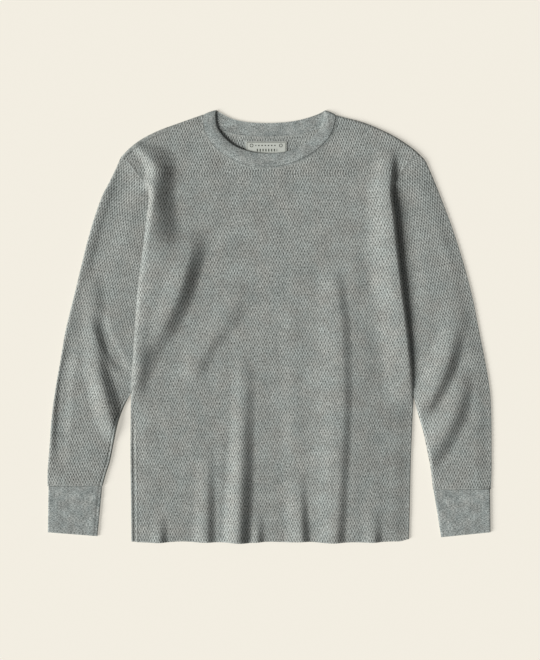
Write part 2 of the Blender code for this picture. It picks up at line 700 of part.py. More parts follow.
def build_neckband():
    """The neckband: a ring whose front lies high, whose back lies low, folded at both sides."""
    around = [(row, front_point) for row in band_places(FRONT_BAND, FRONT_BAND_STEPS)]
    around += [(row, back_point) for row in band_places(BACK_BAND, 1)]
    around.append(around[0])
    grid = []
    for share in BAND_WIDTH_SHARES:
        line = []
        for (edge_x, edge_y, seam_x, seam_y), point in around:
            line.append(point(mix(seam_x, edge_x, share), mix(seam_y, edge_y, share)))
        grid.append(line)
    return knit("neckband", GREY_RIB, grid, BAND_WALL, closed=True)


def tube_row(outer, inner, top, roll, closed, folds, columns):
    """One line round a flat sleeve or cuff: along its underside, round its fold, back on top."""
    across = inner - outer
    width = across.length
    out = -across.normalized()
    span = width - 2 * roll

    def place(distance, upper):
        spot = outer - out * distance
        over_outer = turn(distance, roll)
        over_inner = mix(1.0, turn(width - distance, roll), closed)
        over = over_outer * over_inner
        level = top + fold_height(folds, spot.x, spot.y) if upper else 0.0
        rim = SIDE_RIM + (GAP / 2 if upper else -GAP / 2) * (1.0 - over_inner)
        spot.z = rim + (level - rim) * over
        way = out * math.sqrt(1.0 - over_outer ** 2) - out * math.sqrt(1.0 - over_inner ** 2)
        way += Vector((0.0, 0.0, 1.0 if upper else -1.0)) * over
        return spot, way.normalized()

    def distances(count):
        turns = roll_places(roll, PLAIN_ROLL_STEPS)
        middle = [roll + span * k / count for k in range(1, count)]
        return turns + middle + [width - distance for distance in reversed(turns)]

    upper_columns, lower_columns = columns
    under = [place(distance, False) for distance in reversed(distances(lower_columns))]
    over = [place(distance, True) for distance in distances(upper_columns)]
    return under + over[1:]


def sleeve_rows(cap, forearm, side):
    """The ends of every line across a sleeve, with how far its underarm edge is closed."""
    rows = []
    for row in cap:
        inner_x = back_edge(row.inner_y, side) + side * SLANT_GAP
        outer = Vector((row.outer_x, row.outer_y, 0.0))
        rows.append((outer, Vector((inner_x, row.inner_y, 0.0)), 0.0))
    for row in forearm:
        outer = Vector((row.outer_x, row.outer_y, 0.0))
        rows.append((outer, Vector((row.inner_x, row.inner_y, 0.0)), 1.0))
    return rows


def build_sleeve(name, cap, forearm, side, folds):
    """A sleeve: one piece folded along its outer edge, open at the armhole and the cuff."""
    grid = []
    for outer, inner, closed in sleeve_rows(cap, forearm, side):
        roll = min(SLEEVE_ROLL, (outer - inner).length * ROLL_LARGEST_SHARE)
        grid.append(tube_row(outer, inner, SLEEVE_TOP, roll, closed, folds, SLEEVE_COLUMNS))
    return knit(name, GREY_KNIT, grid, WALL)


def build_cuff(name, forearm, end):
    """A cuff: a flat tube on the end of its sleeve."""
    last = forearm[-1]
    outer = Vector((last.outer_x, last.outer_y, 0.0))
    inner = Vector((last.inner_x, last.inner_y, 0.0))
    across = (inner - outer).normalized()
    down = Vector((-across.y, across.x, 0.0))
    down = down if down.y < 0.0 else -down
    start = outer + across * CUFF_STEP + down * GAP, inner - across * CUFF_STEP + down * GAP
    finish = Vector((end.outer_x, end.outer_y, 0.0)), Vector((end.inner_x, end.inner_y, 0.0))
    grid = []
    for k in range(CUFF_ROWS):
        share = k / (CUFF_ROWS - 1)
        ends = start[0].lerp(finish[0], share), start[1].lerp(finish[1], share)
        grid.append(tube_row(ends[0], ends[1], CUFF_TOP, CUFF_ROLL, 1.0, {}, CUFF_COLUMNS))
    return knit(name, GREY_RIB, grid, BAND_WALL)


def build_label():
    """The label sewn inside the back of the neck: the back's own inner face, moved up."""
    grid = []
    for y in (LABEL_Y[0], sum(LABEL_Y) / 2, LABEL_Y[1]):
        line = []
        for share in LABEL_SHARES:
            place, out = back_point(mix(LABEL_X[0], LABEL_X[1], share), y)
            line.append((place - out * (WALL + GAP + LABEL_WALL), -out))
        grid.append(line)
    return knit("label", WOVEN_LABEL, grid, LABEL_WALL)


def main():
    """Clear the scene and build every piece."""
    for item in list(bpy.data.objects):
        bpy.data.objects.remove(item, do_unlink=True)
    build_front()
    build_back()
    build_sleeve("sleeve_left", LEFT_SLEEVE_CAP, LEFT_FOREARM, -1.0, LEFT_SLEEVE_FOLDS)
    build_sleeve("sleeve_right", RIGHT_SLEEVE_CAP, RIGHT_FOREARM, 1.0, RIGHT_SLEEVE_FOLDS)
    build_cuff("cuff_left", LEFT_FOREARM, LEFT_CUFF_END)
    build_cuff("cuff_right", RIGHT_FOREARM, RIGHT_CUFF_END)
    build_neckband()
    build_label()


main()
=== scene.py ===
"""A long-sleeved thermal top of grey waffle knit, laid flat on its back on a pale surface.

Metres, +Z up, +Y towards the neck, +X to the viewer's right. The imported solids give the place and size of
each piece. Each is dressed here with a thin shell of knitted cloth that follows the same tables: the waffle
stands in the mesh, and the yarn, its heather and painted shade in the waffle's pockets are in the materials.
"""

import logging
import math
from dataclasses import dataclass, field
from enum import Enum
from typing import Callable, Iterable, NamedTuple, Sequence, TypeVar

import bmesh
import bpy
import numpy as np
from bmesh.types import BMesh, BMFace, BMVert
from bpy.types import ID, Material, Node, NodeSocket, NodeTree, Object
from mathutils import Matrix, Vector


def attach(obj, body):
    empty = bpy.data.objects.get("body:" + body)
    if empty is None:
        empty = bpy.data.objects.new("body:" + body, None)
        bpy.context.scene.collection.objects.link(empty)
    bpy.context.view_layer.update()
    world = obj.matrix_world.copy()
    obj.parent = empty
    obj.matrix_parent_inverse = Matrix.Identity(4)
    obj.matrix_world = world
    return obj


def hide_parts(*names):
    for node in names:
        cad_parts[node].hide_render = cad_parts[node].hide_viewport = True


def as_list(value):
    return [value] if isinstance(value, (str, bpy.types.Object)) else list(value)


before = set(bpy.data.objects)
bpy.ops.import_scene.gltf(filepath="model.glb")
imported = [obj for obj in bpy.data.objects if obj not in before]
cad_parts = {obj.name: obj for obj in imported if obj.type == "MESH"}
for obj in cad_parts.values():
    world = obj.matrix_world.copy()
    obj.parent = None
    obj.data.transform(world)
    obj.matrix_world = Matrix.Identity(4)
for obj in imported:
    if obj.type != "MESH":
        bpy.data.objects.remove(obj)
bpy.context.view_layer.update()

LOG = logging.getLogger("thermal_top")
BODY = "root"

Array = np.ndarray
Columns = TypeVar("Columns")


class Side(Enum):
    """A side of the top as its front is looked at; its value is the sign of x there."""

    LEFT = -1.0
    RIGHT = 1.0


def table(columns: Callable[..., Columns], rows: Iterable[Sequence[float]]) -> tuple[Columns, ...]:
    """Name the columns of a table's rows."""
    return tuple(columns(*row) for row in rows)


GAP = 0.0003                 # between pieces at a seam
SLANT_GAP = 0.00008           # the same, sideways, where the seam runs aslant
MERGE = 0.00001
LEAN_STEP = 0.0015           # either way, over which a fold's or the shoulder's lean is measured
ROLL_LARGEST_SHARE = 0.4     # of a sleeve's width, where it is narrower than its rolls
EDGE_REACH = 0.42            # share of a lattice step within which a place moves to the outline
FOLD_RELIEF = 0.35           # of the waffle's depth, where a sleeve's outer fold stretches it
SEAM_FADE = 0.0035           # over which a seam flattens the waffle beside it
CUT_EDGE_ANGLE = math.radians(75.0)  # a cut edge of cloth is shaded sharp, a fold smooth
MIXED_COLOUR = 2             # the Mix node's output for colours
HEM_Y = -0.3506
BACK_HEM_SHORTER = 0.0020
NECK_LINE_STEPS = 400
LENGTH_STEPS = 800


class EdgeRow(NamedTuple):
    """One level of the front's side edge, from the hem up to the tip of the shoulder."""

    y: float
    x: float
    rim: float           # height of the edge
    roll: float          # width over which the cloth turns down to it
    turned: float        # 1 where the edge turns under, 0 where it is sewn flat to the sleeve


LEFT_EDGE = table(EdgeRow, (
    (-0.3506, -0.2240, 0.0030, 0.0036, 1.0),
    (-0.2830, -0.2248, 0.0030, 0.0036, 1.0),
    (-0.2000, -0.2257, 0.0030, 0.0036, 1.0),
    (-0.1350, -0.2252, 0.0030, 0.0060, 1.0),
    (-0.1080, -0.2243, 0.0046, 0.0060, 1.0),
    (-0.0860, -0.2233, 0.0078, 0.0062, 1.0),
    (-0.0065, -0.2184, 0.0076, 0.0065, 1.0),
    (0.0585, -0.2136, 0.0074, 0.0070, 1.0),
    (0.1235, -0.2054, 0.0076, 0.0096, 1.0),
    (0.1805, -0.1988, 0.0070, 0.0108, 1.0),
    (0.2127, -0.1948, 0.0072, 0.0110, 0.7),
    (0.2320, -0.2037, 0.0076, 0.0110, 0.45),
    (0.2500, -0.2172, 0.0066, 0.0110, 0.15),
    (0.2660, -0.2300, 0.0060, 0.0100, 0.0),
    (0.2736, -0.2412, 0.0045, 0.0080, 0.0),
))
RIGHT_EDGE = table(EdgeRow, (
    (-0.3506, 0.2262, 0.0030, 0.0036, 1.0),
    (-0.2830, 0.2277, 0.0030, 0.0036, 1.0),
    (-0.2210, 0.2291, 0.0030, 0.0036, 1.0),
    (-0.1450, 0.2322, 0.0030, 0.0036, 1.0),
    (-0.1150, 0.2337, 0.0040, 0.0046, 1.0),
    (-0.0930, 0.2330, 0.0062, 0.0050, 1.0),
    (-0.0065, 0.2250, 0.0070, 0.0050, 1.0),
    (0.0585, 0.2168, 0.0080, 0.0050, 1.0),
    (0.1235, 0.2090, 0.0090, 0.0050, 1.0),
    (0.1770, 0.2036, 0.0096, 0.0050, 1.0),
    (0.2190, 0.1986, 0.0090, 0.0060, 0.7),
    (0.2380, 0.2068, 0.0074, 0.0110, 0.0),
    (0.2560, 0.2177, 0.0064, 0.0110, 0.0),
    (0.2730, 0.2308, 0.0060, 0.0100, 0.0),
    (0.2814, 0.2404, 0.0045, 0.0080, 0.0),
))


class HiddenRow(NamedTuple):
    """How far in from the front's edge the sleeve and the back meet under it."""

    y: float
    inset: float


LEFT_HIDDEN = table(HiddenRow, (
    (-0.1080, 0.0),
    (-0.0860, 0.0005),
    (-0.0300, 0.0070),
    (0.0585, 0.0085),
    (0.1400, 0.0080),
    (0.2127, 0.0),
))
RIGHT_HIDDEN = table(HiddenRow, (
    (-0.1150, 0.0),
    (-0.0930, 0.0005),
    (-0.0400, 0.0070),
    (0.0585, 0.0085),
    (0.1450, 0.0080),
    (0.2190, 0.0),
))


class OutlineRow(NamedTuple):
    """One point of the shoulder line, from a shoulder's tip to the top of the neck."""

    x: float
    y: float


LEFT_SHOULDER = table(OutlineRow, (
    (-0.2412, 0.2736),
    (-0.2269, 0.2884),
    (-0.2079, 0.3027),
    (-0.1795, 0.3170),
    (-0.1500, 0.3279),
    (-0.1080, 0.3427),
    (-0.0861, 0.3506),
))
RIGHT_SHOULDER = table(OutlineRow, (
    (0.0896, 0.3503),
    (0.1096, 0.3418),
    (0.1500, 0.3308),
    (0.1762, 0.3206),
    (0.2049, 0.3063),
    (0.2288, 0.2907),
    (0.2404, 0.2814),
))


class BandRow(NamedTuple):
    """One place round the neckband: its free edge and its seam."""

    edge_x: float
    edge_y: float
    seam_x: float
    seam_y: float


FRONT_BAND = table(BandRow, (
    (-0.0861, 0.3506, -0.1080, 0.3427),
    (-0.0874, 0.3412, -0.1083, 0.3330),
    (-0.0845, 0.3235, -0.1058, 0.3165),
    (-0.0740, 0.3070, -0.0945, 0.2965),
    (-0.0545, 0.2915, -0.0705, 0.2752),
    (-0.0300, 0.2830, -0.0398, 0.2614),
    (-0.0040, 0.2802, -0.0072, 0.2567),
    (0.0220, 0.2818, 0.0252, 0.2590),
    (0.0479, 0.2903, 0.0585, 0.2712),
    (0.0690, 0.3053, 0.0861, 0.2907),
    (0.0828, 0.3224, 0.1025, 0.3105),
    (0.0875, 0.3410, 0.1092, 0.3320),
    (0.0896, 0.3503, 0.1096, 0.3418),
))
BACK_BAND = table(BandRow, (
    (0.0896, 0.3503, 0.1096, 0.3418),
    (0.0804, 0.3443, 0.0998, 0.3320),
    (0.0609, 0.3373, 0.0723, 0.3175),
    (0.0333, 0.3313, 0.0365, 0.3098),
    (-0.0040, 0.3290, -0.0040, 0.3076),
    (-0.0382, 0.3310, -0.0430, 0.3092),
    (-0.0609, 0.3363, -0.0723, 0.3159),
    (-0.0771, 0.3444, -0.0982, 0.3321),
    (-0.0861, 0.3506, -0.1080, 0.3427),
))
LABEL_AT = (-0.00525, 0.2860)
LABEL_SIZE = (0.0655, 0.0260)


class SleeveRow(NamedTuple):
    """One line across a sleeve, from its outer fold to its armhole or underarm edge."""

    outer_x: float
    outer_y: float
    inner_x: float       # only below the underarm; above it the armhole gives it
    inner_y: float


LEFT_SLEEVE_CAP = table(SleeveRow, (
    (-0.2414, 0.2734, 0.0, 0.2712),
    (-0.2423, 0.2716, 0.0, 0.2660),
    (-0.2485, 0.2574, 0.0, 0.2500),
    (-0.2549, 0.2440, 0.0, 0.2320),
    (-0.2612, 0.2310, 0.0, 0.2127),
    (-0.2722, 0.2098, 0.0, 0.1850),
    (-0.2840, 0.1770, 0.0, 0.1500),
    (-0.2960, 0.1360, 0.0, 0.1100),
    (-0.3076, 0.0890, 0.0, 0.0680),
    (-0.3194, 0.0405, 0.0, 0.0250),
    (-0.3313, -0.0085, 0.0, -0.0200),
    (-0.3391, -0.0540, 0.0, -0.0580),
    (-0.3446, -0.0850, 0.0, -0.0860),
    (-0.3484, -0.1080, 0.0, -0.1080),
))
LEFT_FOREARM = table(SleeveRow, (
    (-0.3521, -0.1330, -0.2370, -0.1330),
    (-0.3546, -0.1592, -0.2460, -0.1592),
    (-0.3566, -0.1884, -0.2528, -0.1910),
    (-0.3589, -0.2176, -0.2586, -0.2192),
    (-0.3603, -0.2400, -0.2652, -0.2402),
    (-0.3600, -0.2598, -0.2704, -0.2588),
))
RIGHT_SLEEVE_CAP = table(SleeveRow, (
    (0.2407, 0.2811, 0.0, 0.2780),
    (0.2424, 0.2794, 0.0, 0.2730),
    (0.2525, 0.2688, 0.0, 0.2560),
    (0.2586, 0.2560, 0.0, 0.2380),
    (0.2638, 0.2440, 0.0, 0.2190),
    (0.2736, 0.2201, 0.0, 0.1900),
    (0.2874, 0.1843, 0.0, 0.1530),
    (0.3019, 0.1437, 0.0, 0.1110),
    (0.3175, 0.0926, 0.0, 0.0650),
    (0.3300, 0.0440, 0.0, 0.0200),
    (0.3397, -0.0060, 0.0, -0.0250),
    (0.3492, -0.0530, 0.0, -0.0640),
    (0.3553, -0.0880, 0.0, -0.0930),
    (0.3586, -0.1150, 0.0, -0.1150),
))
RIGHT_FOREARM = table(SleeveRow, (
    (0.3598, -0.1440, 0.2412, -0.1440),
    (0.3603, -0.1738, 0.2498, -0.1738),
    (0.3603, -0.2014, 0.2558, -0.2026),
    (0.3603, -0.2330, 0.2616, -0.2335),
    (0.3593, -0.2642, 0.2652, -0.2655),
))


class CuffEnd(NamedTuple):
    """The open end of a cuff: its outer corner and its underarm corner."""

    outer_x: float
    outer_y: float
    inner_x: float
    inner_y: float


LEFT_CUFF_END = CuffEnd(-0.3596, -0.3345, -0.2790, -0.3408)
RIGHT_CUFF_END = CuffEnd(0.3584, -0.3345, 0.2783, -0.3425)


class CrestRow(NamedTuple):
    """One place along the crest of a fold, or along the bottom of a hollow (height below 0)."""

    y: float
    x: float
    height: float
    left: float          # width of the slope on the -X side
    right: float         # width of the slope on the +X side


Folds = dict[str, tuple[CrestRow, ...]]


def fold_tables(folds: dict[str, Sequence[Sequence[float]]]) -> Folds:
    """Name the columns of each fold's rows."""
    return {name: table(CrestRow, rows) for name, rows in folds.items()}


FRONT_FOLDS = fold_tables({
    "left side bulge": (
        (-0.1250, -0.2215, 0.0000, 0.014, 0.022),
        (-0.0860, -0.2170, 0.0030, 0.015, 0.024),
        (0.0000, -0.2110, 0.0038, 0.016, 0.026),
        (0.1000, -0.1990, 0.0058, 0.020, 0.046),
        (0.1350, -0.1935, 0.0100, 0.024, 0.056),
        (0.1650, -0.1915, 0.0126, 0.030, 0.049),
        (0.1965, -0.1905, 0.0138, 0.032, 0.043),
        (0.2250, -0.1875, 0.0136, 0.026, 0.037),
        (0.2480, -0.1828, 0.0122, 0.021, 0.034),
        (0.2600, -0.1850, 0.0104, 0.019, 0.035),
        (0.2720, -0.1925, 0.0078, 0.018, 0.037),
        (0.2850, -0.2040, 0.0044, 0.016, 0.037),
        (0.2980, -0.2140, 0.0000, 0.014, 0.032),
    ),
    "left underarm bulge": (
        (-0.1200, -0.2220, 0.0000, 0.020, 0.022),
        (-0.0850, -0.2130, 0.0040, 0.020, 0.026),
        (-0.0420, -0.2020, 0.0060, 0.040, 0.030),
        (0.0020, -0.1740, 0.0100, 0.060, 0.030),
        (0.0585, -0.1470, 0.0132, 0.080, 0.029),
        (0.0960, -0.1360, 0.0116, 0.080, 0.030),
        (0.1220, -0.1300, 0.0070, 0.070, 0.032),
        (0.1540, -0.1250, 0.0000, 0.050, 0.032),
    ),
    "right side bulge": (
        (-0.1350, 0.2270, 0.0000, 0.040, 0.020),
        (-0.0880, 0.2245, 0.0050, 0.045, 0.022),
        (0.0000, 0.2175, 0.0082, 0.050, 0.026),
        (0.1200, 0.2020, 0.0108, 0.050, 0.030),
        (0.1900, 0.1950, 0.0114, 0.044, 0.030),
        (0.2350, 0.1935, 0.0086, 0.038, 0.017),
        (0.2600, 0.1940, 0.0050, 0.032, 0.017),
        (0.2920, 0.1950, 0.0000, 0.028, 0.016),
    ),
    "right shoulder hollow": (
        (0.2050, 0.2035, 0.0000, 0.008, 0.014),
        (0.2230, 0.2040, -0.0034, 0.008, 0.019),
        (0.2420, 0.2050, -0.0030, 0.008, 0.020),
        (0.2600, 0.2060, -0.0013, 0.008, 0.020),
        (0.2760, 0.2060, 0.0000, 0.008, 0.018),
    ),
    "long fold left of the middle": (
        (-0.3506, -0.0510, 0.0106, 0.029, 0.024),
        (-0.2500, -0.0475, 0.0078, 0.026, 0.024),
        (-0.1500, -0.0440, 0.0042, 0.024, 0.023),
        (-0.0900, -0.0420, 0.0022, 0.022, 0.020),
        (-0.0450, -0.0430, 0.0000, 0.018, 0.018),
    ),
    "long fold right of the middle": (
        (-0.3506, 0.1060, 0.0054, 0.034, 0.019),
        (-0.2500, 0.1115, 0.0040, 0.044, 0.019),
        (-0.1200, 0.1175, 0.0034, 0.048, 0.019),
        (0.0000, 0.1150, 0.0034, 0.044, 0.019),
        (0.0500, 0.1090, 0.0030, 0.036, 0.019),
        (0.1050, 0.1050, 0.0000, 0.030, 0.018),
    ),
    "short fold at the hem": (
        (-0.3506, 0.0515, 0.0064, 0.030, 0.017),
        (-0.3050, 0.0490, 0.0045, 0.028, 0.016),
        (-0.2300, 0.0450, 0.0000, 0.026, 0.016),
    ),
    "small fold at the hem": (
        (-0.3506, -0.1030, 0.0054, 0.026, 0.017),
        (-0.2900, -0.1020, 0.0036, 0.024, 0.016),
        (-0.1900, -0.1020, 0.0000, 0.020, 0.016),
    ),
    "slanting fold below the chest": (
        (-0.1000, -0.1280, 0.0000, 0.034, 0.020),
        (-0.0550, -0.1130, 0.0040, 0.034, 0.022),
        (-0.0150, -0.0890, 0.0046, 0.036, 0.024),
        (0.0250, -0.0610, 0.0030, 0.036, 0.026),
        (0.0700, -0.0480, 0.0000, 0.030, 0.026),
    ),
    "faint ridge down the middle": (
        (-0.2300, 0.0385, 0.0000, 0.026, 0.028),
        (-0.1400, 0.0380, 0.0012, 0.026, 0.028),
        (0.0000, 0.0370, 0.0012, 0.026, 0.028),
        (0.0800, 0.0365, 0.0000, 0.026, 0.028),
    ),
    "faint ridge on the chest": (
        (0.0400, 0.1420, 0.0000, 0.024, 0.030),
        (0.0850, 0.1350, 0.0016, 0.024, 0.030),
        (0.1300, 0.1300, 0.0000, 0.024, 0.030),
    ),
})
LEFT_SLEEVE_FOLDS = fold_tables({
    "outer fold": (
        (-0.2598, -0.3600, -0.0012, 0.010, 0.018),
        (-0.1330, -0.3521, 0.0008, 0.010, 0.017),
        (-0.0085, -0.3313, 0.0008, 0.010, 0.019),
        (0.1360, -0.2960, 0.0004, 0.010, 0.022),
        (0.2574, -0.2485, 0.0000, 0.010, 0.018),
    ),
    "forearm fold": (
        (-0.1900, -0.2480, 0.0000, 0.022, 0.014),
        (-0.1530, -0.2575, 0.0080, 0.028, 0.020),
        (-0.1300, -0.2630, 0.0096, 0.030, 0.025),
        (-0.1000, -0.2705, 0.0077, 0.028, 0.023),
        (-0.0700, -0.2775, 0.0056, 0.027, 0.021),
        (-0.0390, -0.2815, 0.0044, 0.026, 0.021),
        (0.0000, -0.2835, 0.0038, 0.024, 0.021),
        (0.0350, -0.2845, 0.0030, 0.022, 0.020),
        (0.0650, -0.2850, 0.0014, 0.020, 0.020),
        (0.0950, -0.2850, 0.0000, 0.018, 0.020),
    ),
    "elbow hollow": (
        (-0.0800, -0.2330, 0.0000, 0.016, 0.018),
        (-0.0500, -0.2500, -0.0030, 0.016, 0.018),
        (-0.0100, -0.2700, -0.0030, 0.016, 0.018),
        (0.0300, -0.2810, 0.0000, 0.016, 0.018),
    ),
    "hollow along the upper fold": (
        (0.0500, -0.2910, 0.0000, 0.018, 0.032),
        (0.1100, -0.2780, -0.0026, 0.019, 0.036),
        (0.1500, -0.2660, -0.0032, 0.020, 0.036),
        (0.2150, -0.2450, -0.0032, 0.020, 0.034),
        (0.2650, -0.2330, 0.0000, 0.014, 0.024),
    ),
    "hollow along the lower fold": (
        (-0.2400, -0.3430, 0.0000, 0.014, 0.020),
        (-0.1700, -0.3400, -0.0032, 0.014, 0.020),
        (-0.0877, -0.3350, -0.0032, 0.014, 0.020),
        (-0.0100, -0.3170, 0.0000, 0.014, 0.020),
    ),
})
RIGHT_SLEEVE_FOLDS = fold_tables({
    "hollow beside the body": (
        (-0.1000, 0.2400, 0.0000, 0.020, 0.020),
        (-0.0500, 0.2340, -0.0017, 0.022, 0.026),
        (0.0800, 0.2180, -0.0021, 0.022, 0.038),
        (0.1900, 0.2060, -0.0021, 0.022, 0.044),
        (0.2300, 0.2120, 0.0000, 0.020, 0.030),
    ),
    "outer fold": (
        (-0.2642, 0.3593, -0.0022, 0.026, 0.010),
        (-0.1150, 0.3586, -0.0022, 0.026, 0.010),
        (-0.0060, 0.3397, -0.0022, 0.026, 0.010),
        (0.1437, 0.3019, -0.0020, 0.026, 0.010),
        (0.2560, 0.2586, -0.0010, 0.018, 0.010),
        (0.2800, 0.2410, 0.0000, 0.010, 0.010),
    ),
    "upper forearm fold": (
        (-0.1500, 0.2400, 0.0000, 0.028, 0.024),
        (-0.1250, 0.2540, 0.0078, 0.030, 0.024),
        (-0.0900, 0.2735, 0.0108, 0.034, 0.024),
        (-0.0500, 0.2880, 0.0084, 0.034, 0.024),
        (-0.0050, 0.2990, 0.0034, 0.030, 0.024),
        (0.0300, 0.3040, 0.0000, 0.024, 0.022),
    ),
    "lower forearm fold": (
        (-0.2400, 0.2480, 0.0000, 0.026, 0.024),
        (-0.2150, 0.2590, 0.0062, 0.030, 0.026),
        (-0.1900, 0.2730, 0.0084, 0.034, 0.028),
        (-0.1650, 0.2865, 0.0092, 0.036, 0.028),
        (-0.1250, 0.3030, 0.0070, 0.034, 0.026),
        (-0.0650, 0.3160, 0.0000, 0.028, 0.022),
    ),
    "upper arm ridge": (
        (0.0100, 0.2500, 0.0000, 0.024, 0.030),
        (0.0600, 0.2540, 0.0010, 0.024, 0.030),
        (0.1150, 0.2560, 0.0000, 0.024, 0.030),
    ),
})


class GrainRow(NamedTuple):
    """How wide apart the body's wales lie at a level, against the knit's own pitch."""

    y: float
    spread: float


WALES = table(GrainRow, (
    (-0.3600, 0.962),
    (-0.2000, 0.972),
    (0.0000, 1.030),
    (0.1200, 1.055),
    (0.2400, 1.000),
    (0.3600, 0.925),
))


class UnderarmRow(NamedTuple):
    """One place down a sleeve's free inner edge."""

    y: float
    x: float


FRONT_EDGE_FOLDS = fold_tables({
    "groove beside the left side seam": (
        (-0.3506, -0.2185, -0.0012, 0.0040, 0.0040),
        (-0.2830, -0.2190, -0.0012, 0.0040, 0.0040),
        (-0.2000, -0.2200, -0.0012, 0.0036, 0.0036),
        (-0.1400, -0.2200, 0.0000, 0.0030, 0.0030),
    ),
    "left side seam": (
        (-0.3506, -0.2145, 0.0007, 0.0016, 0.0014),
        (-0.2830, -0.2150, 0.0007, 0.0016, 0.0014),
        (-0.2000, -0.2160, 0.0006, 0.0016, 0.0014),
        (-0.1500, -0.2170, 0.0000, 0.0016, 0.0014),
    ),
    "lower right side edge": (
        (-0.3506, 0.2270, -0.0018, 0.030, 0.010),
        (-0.1400, 0.2325, -0.0018, 0.030, 0.010),
        (-0.1000, 0.2335, 0.0000, 0.030, 0.010),
    ),
    "lower left side edge": (
        (-0.3506, -0.2245, -0.0018, 0.010, 0.030),
        (-0.1400, -0.2255, -0.0018, 0.010, 0.030),
        (-0.1000, -0.2240, 0.0000, 0.010, 0.030),
    ),
    "swell right of the middle": (
        (-0.3506, 0.1150, 0.0010, 0.100, 0.110),
        (-0.3000, 0.1165, 0.0034, 0.100, 0.110),
        (-0.2000, 0.1180, 0.0040, 0.100, 0.110),
        (-0.0500, 0.1200, 0.0030, 0.100, 0.100),
        (0.1000, 0.1150, 0.0000, 0.080, 0.090),
    ),
    "first ripple at the hem": (
        (-0.3506, -0.1780, 0.0054, 0.020, 0.015),
        (-0.3350, -0.1775, 0.0030, 0.020, 0.014),
        (-0.3000, -0.1770, 0.0000, 0.018, 0.014),
    ),
    "second ripple at the hem": (
        (-0.3506, -0.0200, 0.0050, 0.014, 0.013),
        (-0.3350, -0.0200, 0.0028, 0.014, 0.013),
        (-0.2980, -0.0205, 0.0000, 0.014, 0.012),
    ),
    "third ripple at the hem": (
        (-0.3506, 0.1690, 0.0052, 0.022, 0.015),
        (-0.3350, 0.1690, 0.0030, 0.022, 0.015),
        (-0.2980, 0.1690, 0.0000, 0.020, 0.014),
    ),
})


class Wave(NamedTuple):
    """One slow wave of unevenness, its rates in radians for each metre."""

    size: float
    across: float
    along: float
    start: float


def waves(rows: Sequence[Wave], u: Array, v: Array) -> Array:
    """Add up a set of waves at places u across and v along."""
    return sum(row.size * np.sin(row.across * u + row.along * v + row.start) for row in rows)


HEM_WAVES = table(Wave, ((0.0008, 38.0, 0.0, 0.4), (0.0006, 91.0, 0.0, 2.0)))
KNIT_SWAY = table(Wave, ((1.0, 9.0, 61.0, 0.0), (0.7, -31.0, 143.0, 1.3)))
KNIT_LIFT = table(Wave, ((1.0, 83.0, 17.0, 0.0), (0.7, 197.0, -23.0, 0.7)))


@dataclass(frozen=True)
class HemSway:
    """How the cut hem wanders up and down, and up at its corners."""

    right: tuple[float, float, float] = (0.0052, 0.2020, 0.026)  # lift, from where, over how far
    left: tuple[float, float, float] = (0.0014, 0.2100, 0.014)
    fade: float = 0.020          # up the cloth, over which it dies out

    def at(self, x: Array, up: Array) -> Array:
        """How far up the cloth is moved.

        Args:
            x: Places across.
            up: Distances from the hem.

        Returns:
            The move at each place.
        """
        lift, start, over = self.right
        corner = lift * smooth_step((x - start) / over) ** 2
        lift, start, over = self.left
        corner = corner + lift * smooth_step((-start - x) / over)
        return (corner + waves(HEM_WAVES, x, up)) * np.exp(-up / self.fade)


# ------------------------------------------------------------------ small helpers


def srgb(code: str) -> tuple[float, float, float, float]:
    """Turn a hex colour into linear values.

    Args:
        code: Six hex digits, red first.

    Returns:
        Linear red, green and blue, and an alpha of 1.
    """
    parts = [int(code[k:k + 2], 16) / 255.0 for k in (0, 2, 4)]
    linear = [p / 12.92 if p <= 0.04045 else ((p + 0.055) / 1.055) ** 2.4 for p in parts]
    return linear[0], linear[1], linear[2], 1.0


def mix(start: Array, end: Array, share: Array) -> Array:
    """A value part of the way from start to end."""
    return start + (end - start) * share


def smooth_step(value: Array) -> Array:
    """0 below 0, 1 above 1, and an even curve between them."""
    held = np.clip(value, 0.0, 1.0)
    return held * held * (3.0 - 2.0 * held)


def swell(share: Array) -> Array:
    """1 at 0, falling on an even curve to 0 at 1 and at -1."""
    return 0.5 * (1.0 + np.cos(np.pi * np.clip(share, -1.0, 1.0)))


def lean(line: Callable[[Array], Array], where: Array) -> Array:
    """The slope of a line that is given by its place along at each place across."""
    return (line(where + LEAN_STEP) - line(where - LEAN_STEP)) / (2 * LEAN_STEP)


def walked(places: Array) -> Array:
    """How far along a route each of its places is."""
    return np.concatenate([[0.0], np.cumsum(np.linalg.norm(np.diff(places, axis=0), axis=1))])


def turn(distance: Array, roll: Array) -> Array:
    """How far cloth has come up at a distance from an edge: 0 at the edge, 1 past the roll."""
    near = np.clip(distance / roll, 0.0, 1.0)
    return np.sqrt(1.0 - (1.0 - near) ** 2)


def roll_places(roll: float, steps: int) -> Array:
    """Distances from an edge that follow its roll evenly, from the edge to the roll's end."""
    return roll * (1.0 - np.cos(np.pi / 2 * np.arange(steps + 1) / steps))


def unit(vectors: Array) -> Array:
    """The same directions, each of length 1."""
    return vectors / np.maximum(np.linalg.norm(vectors, axis=-1, keepdims=True), 1e-12)


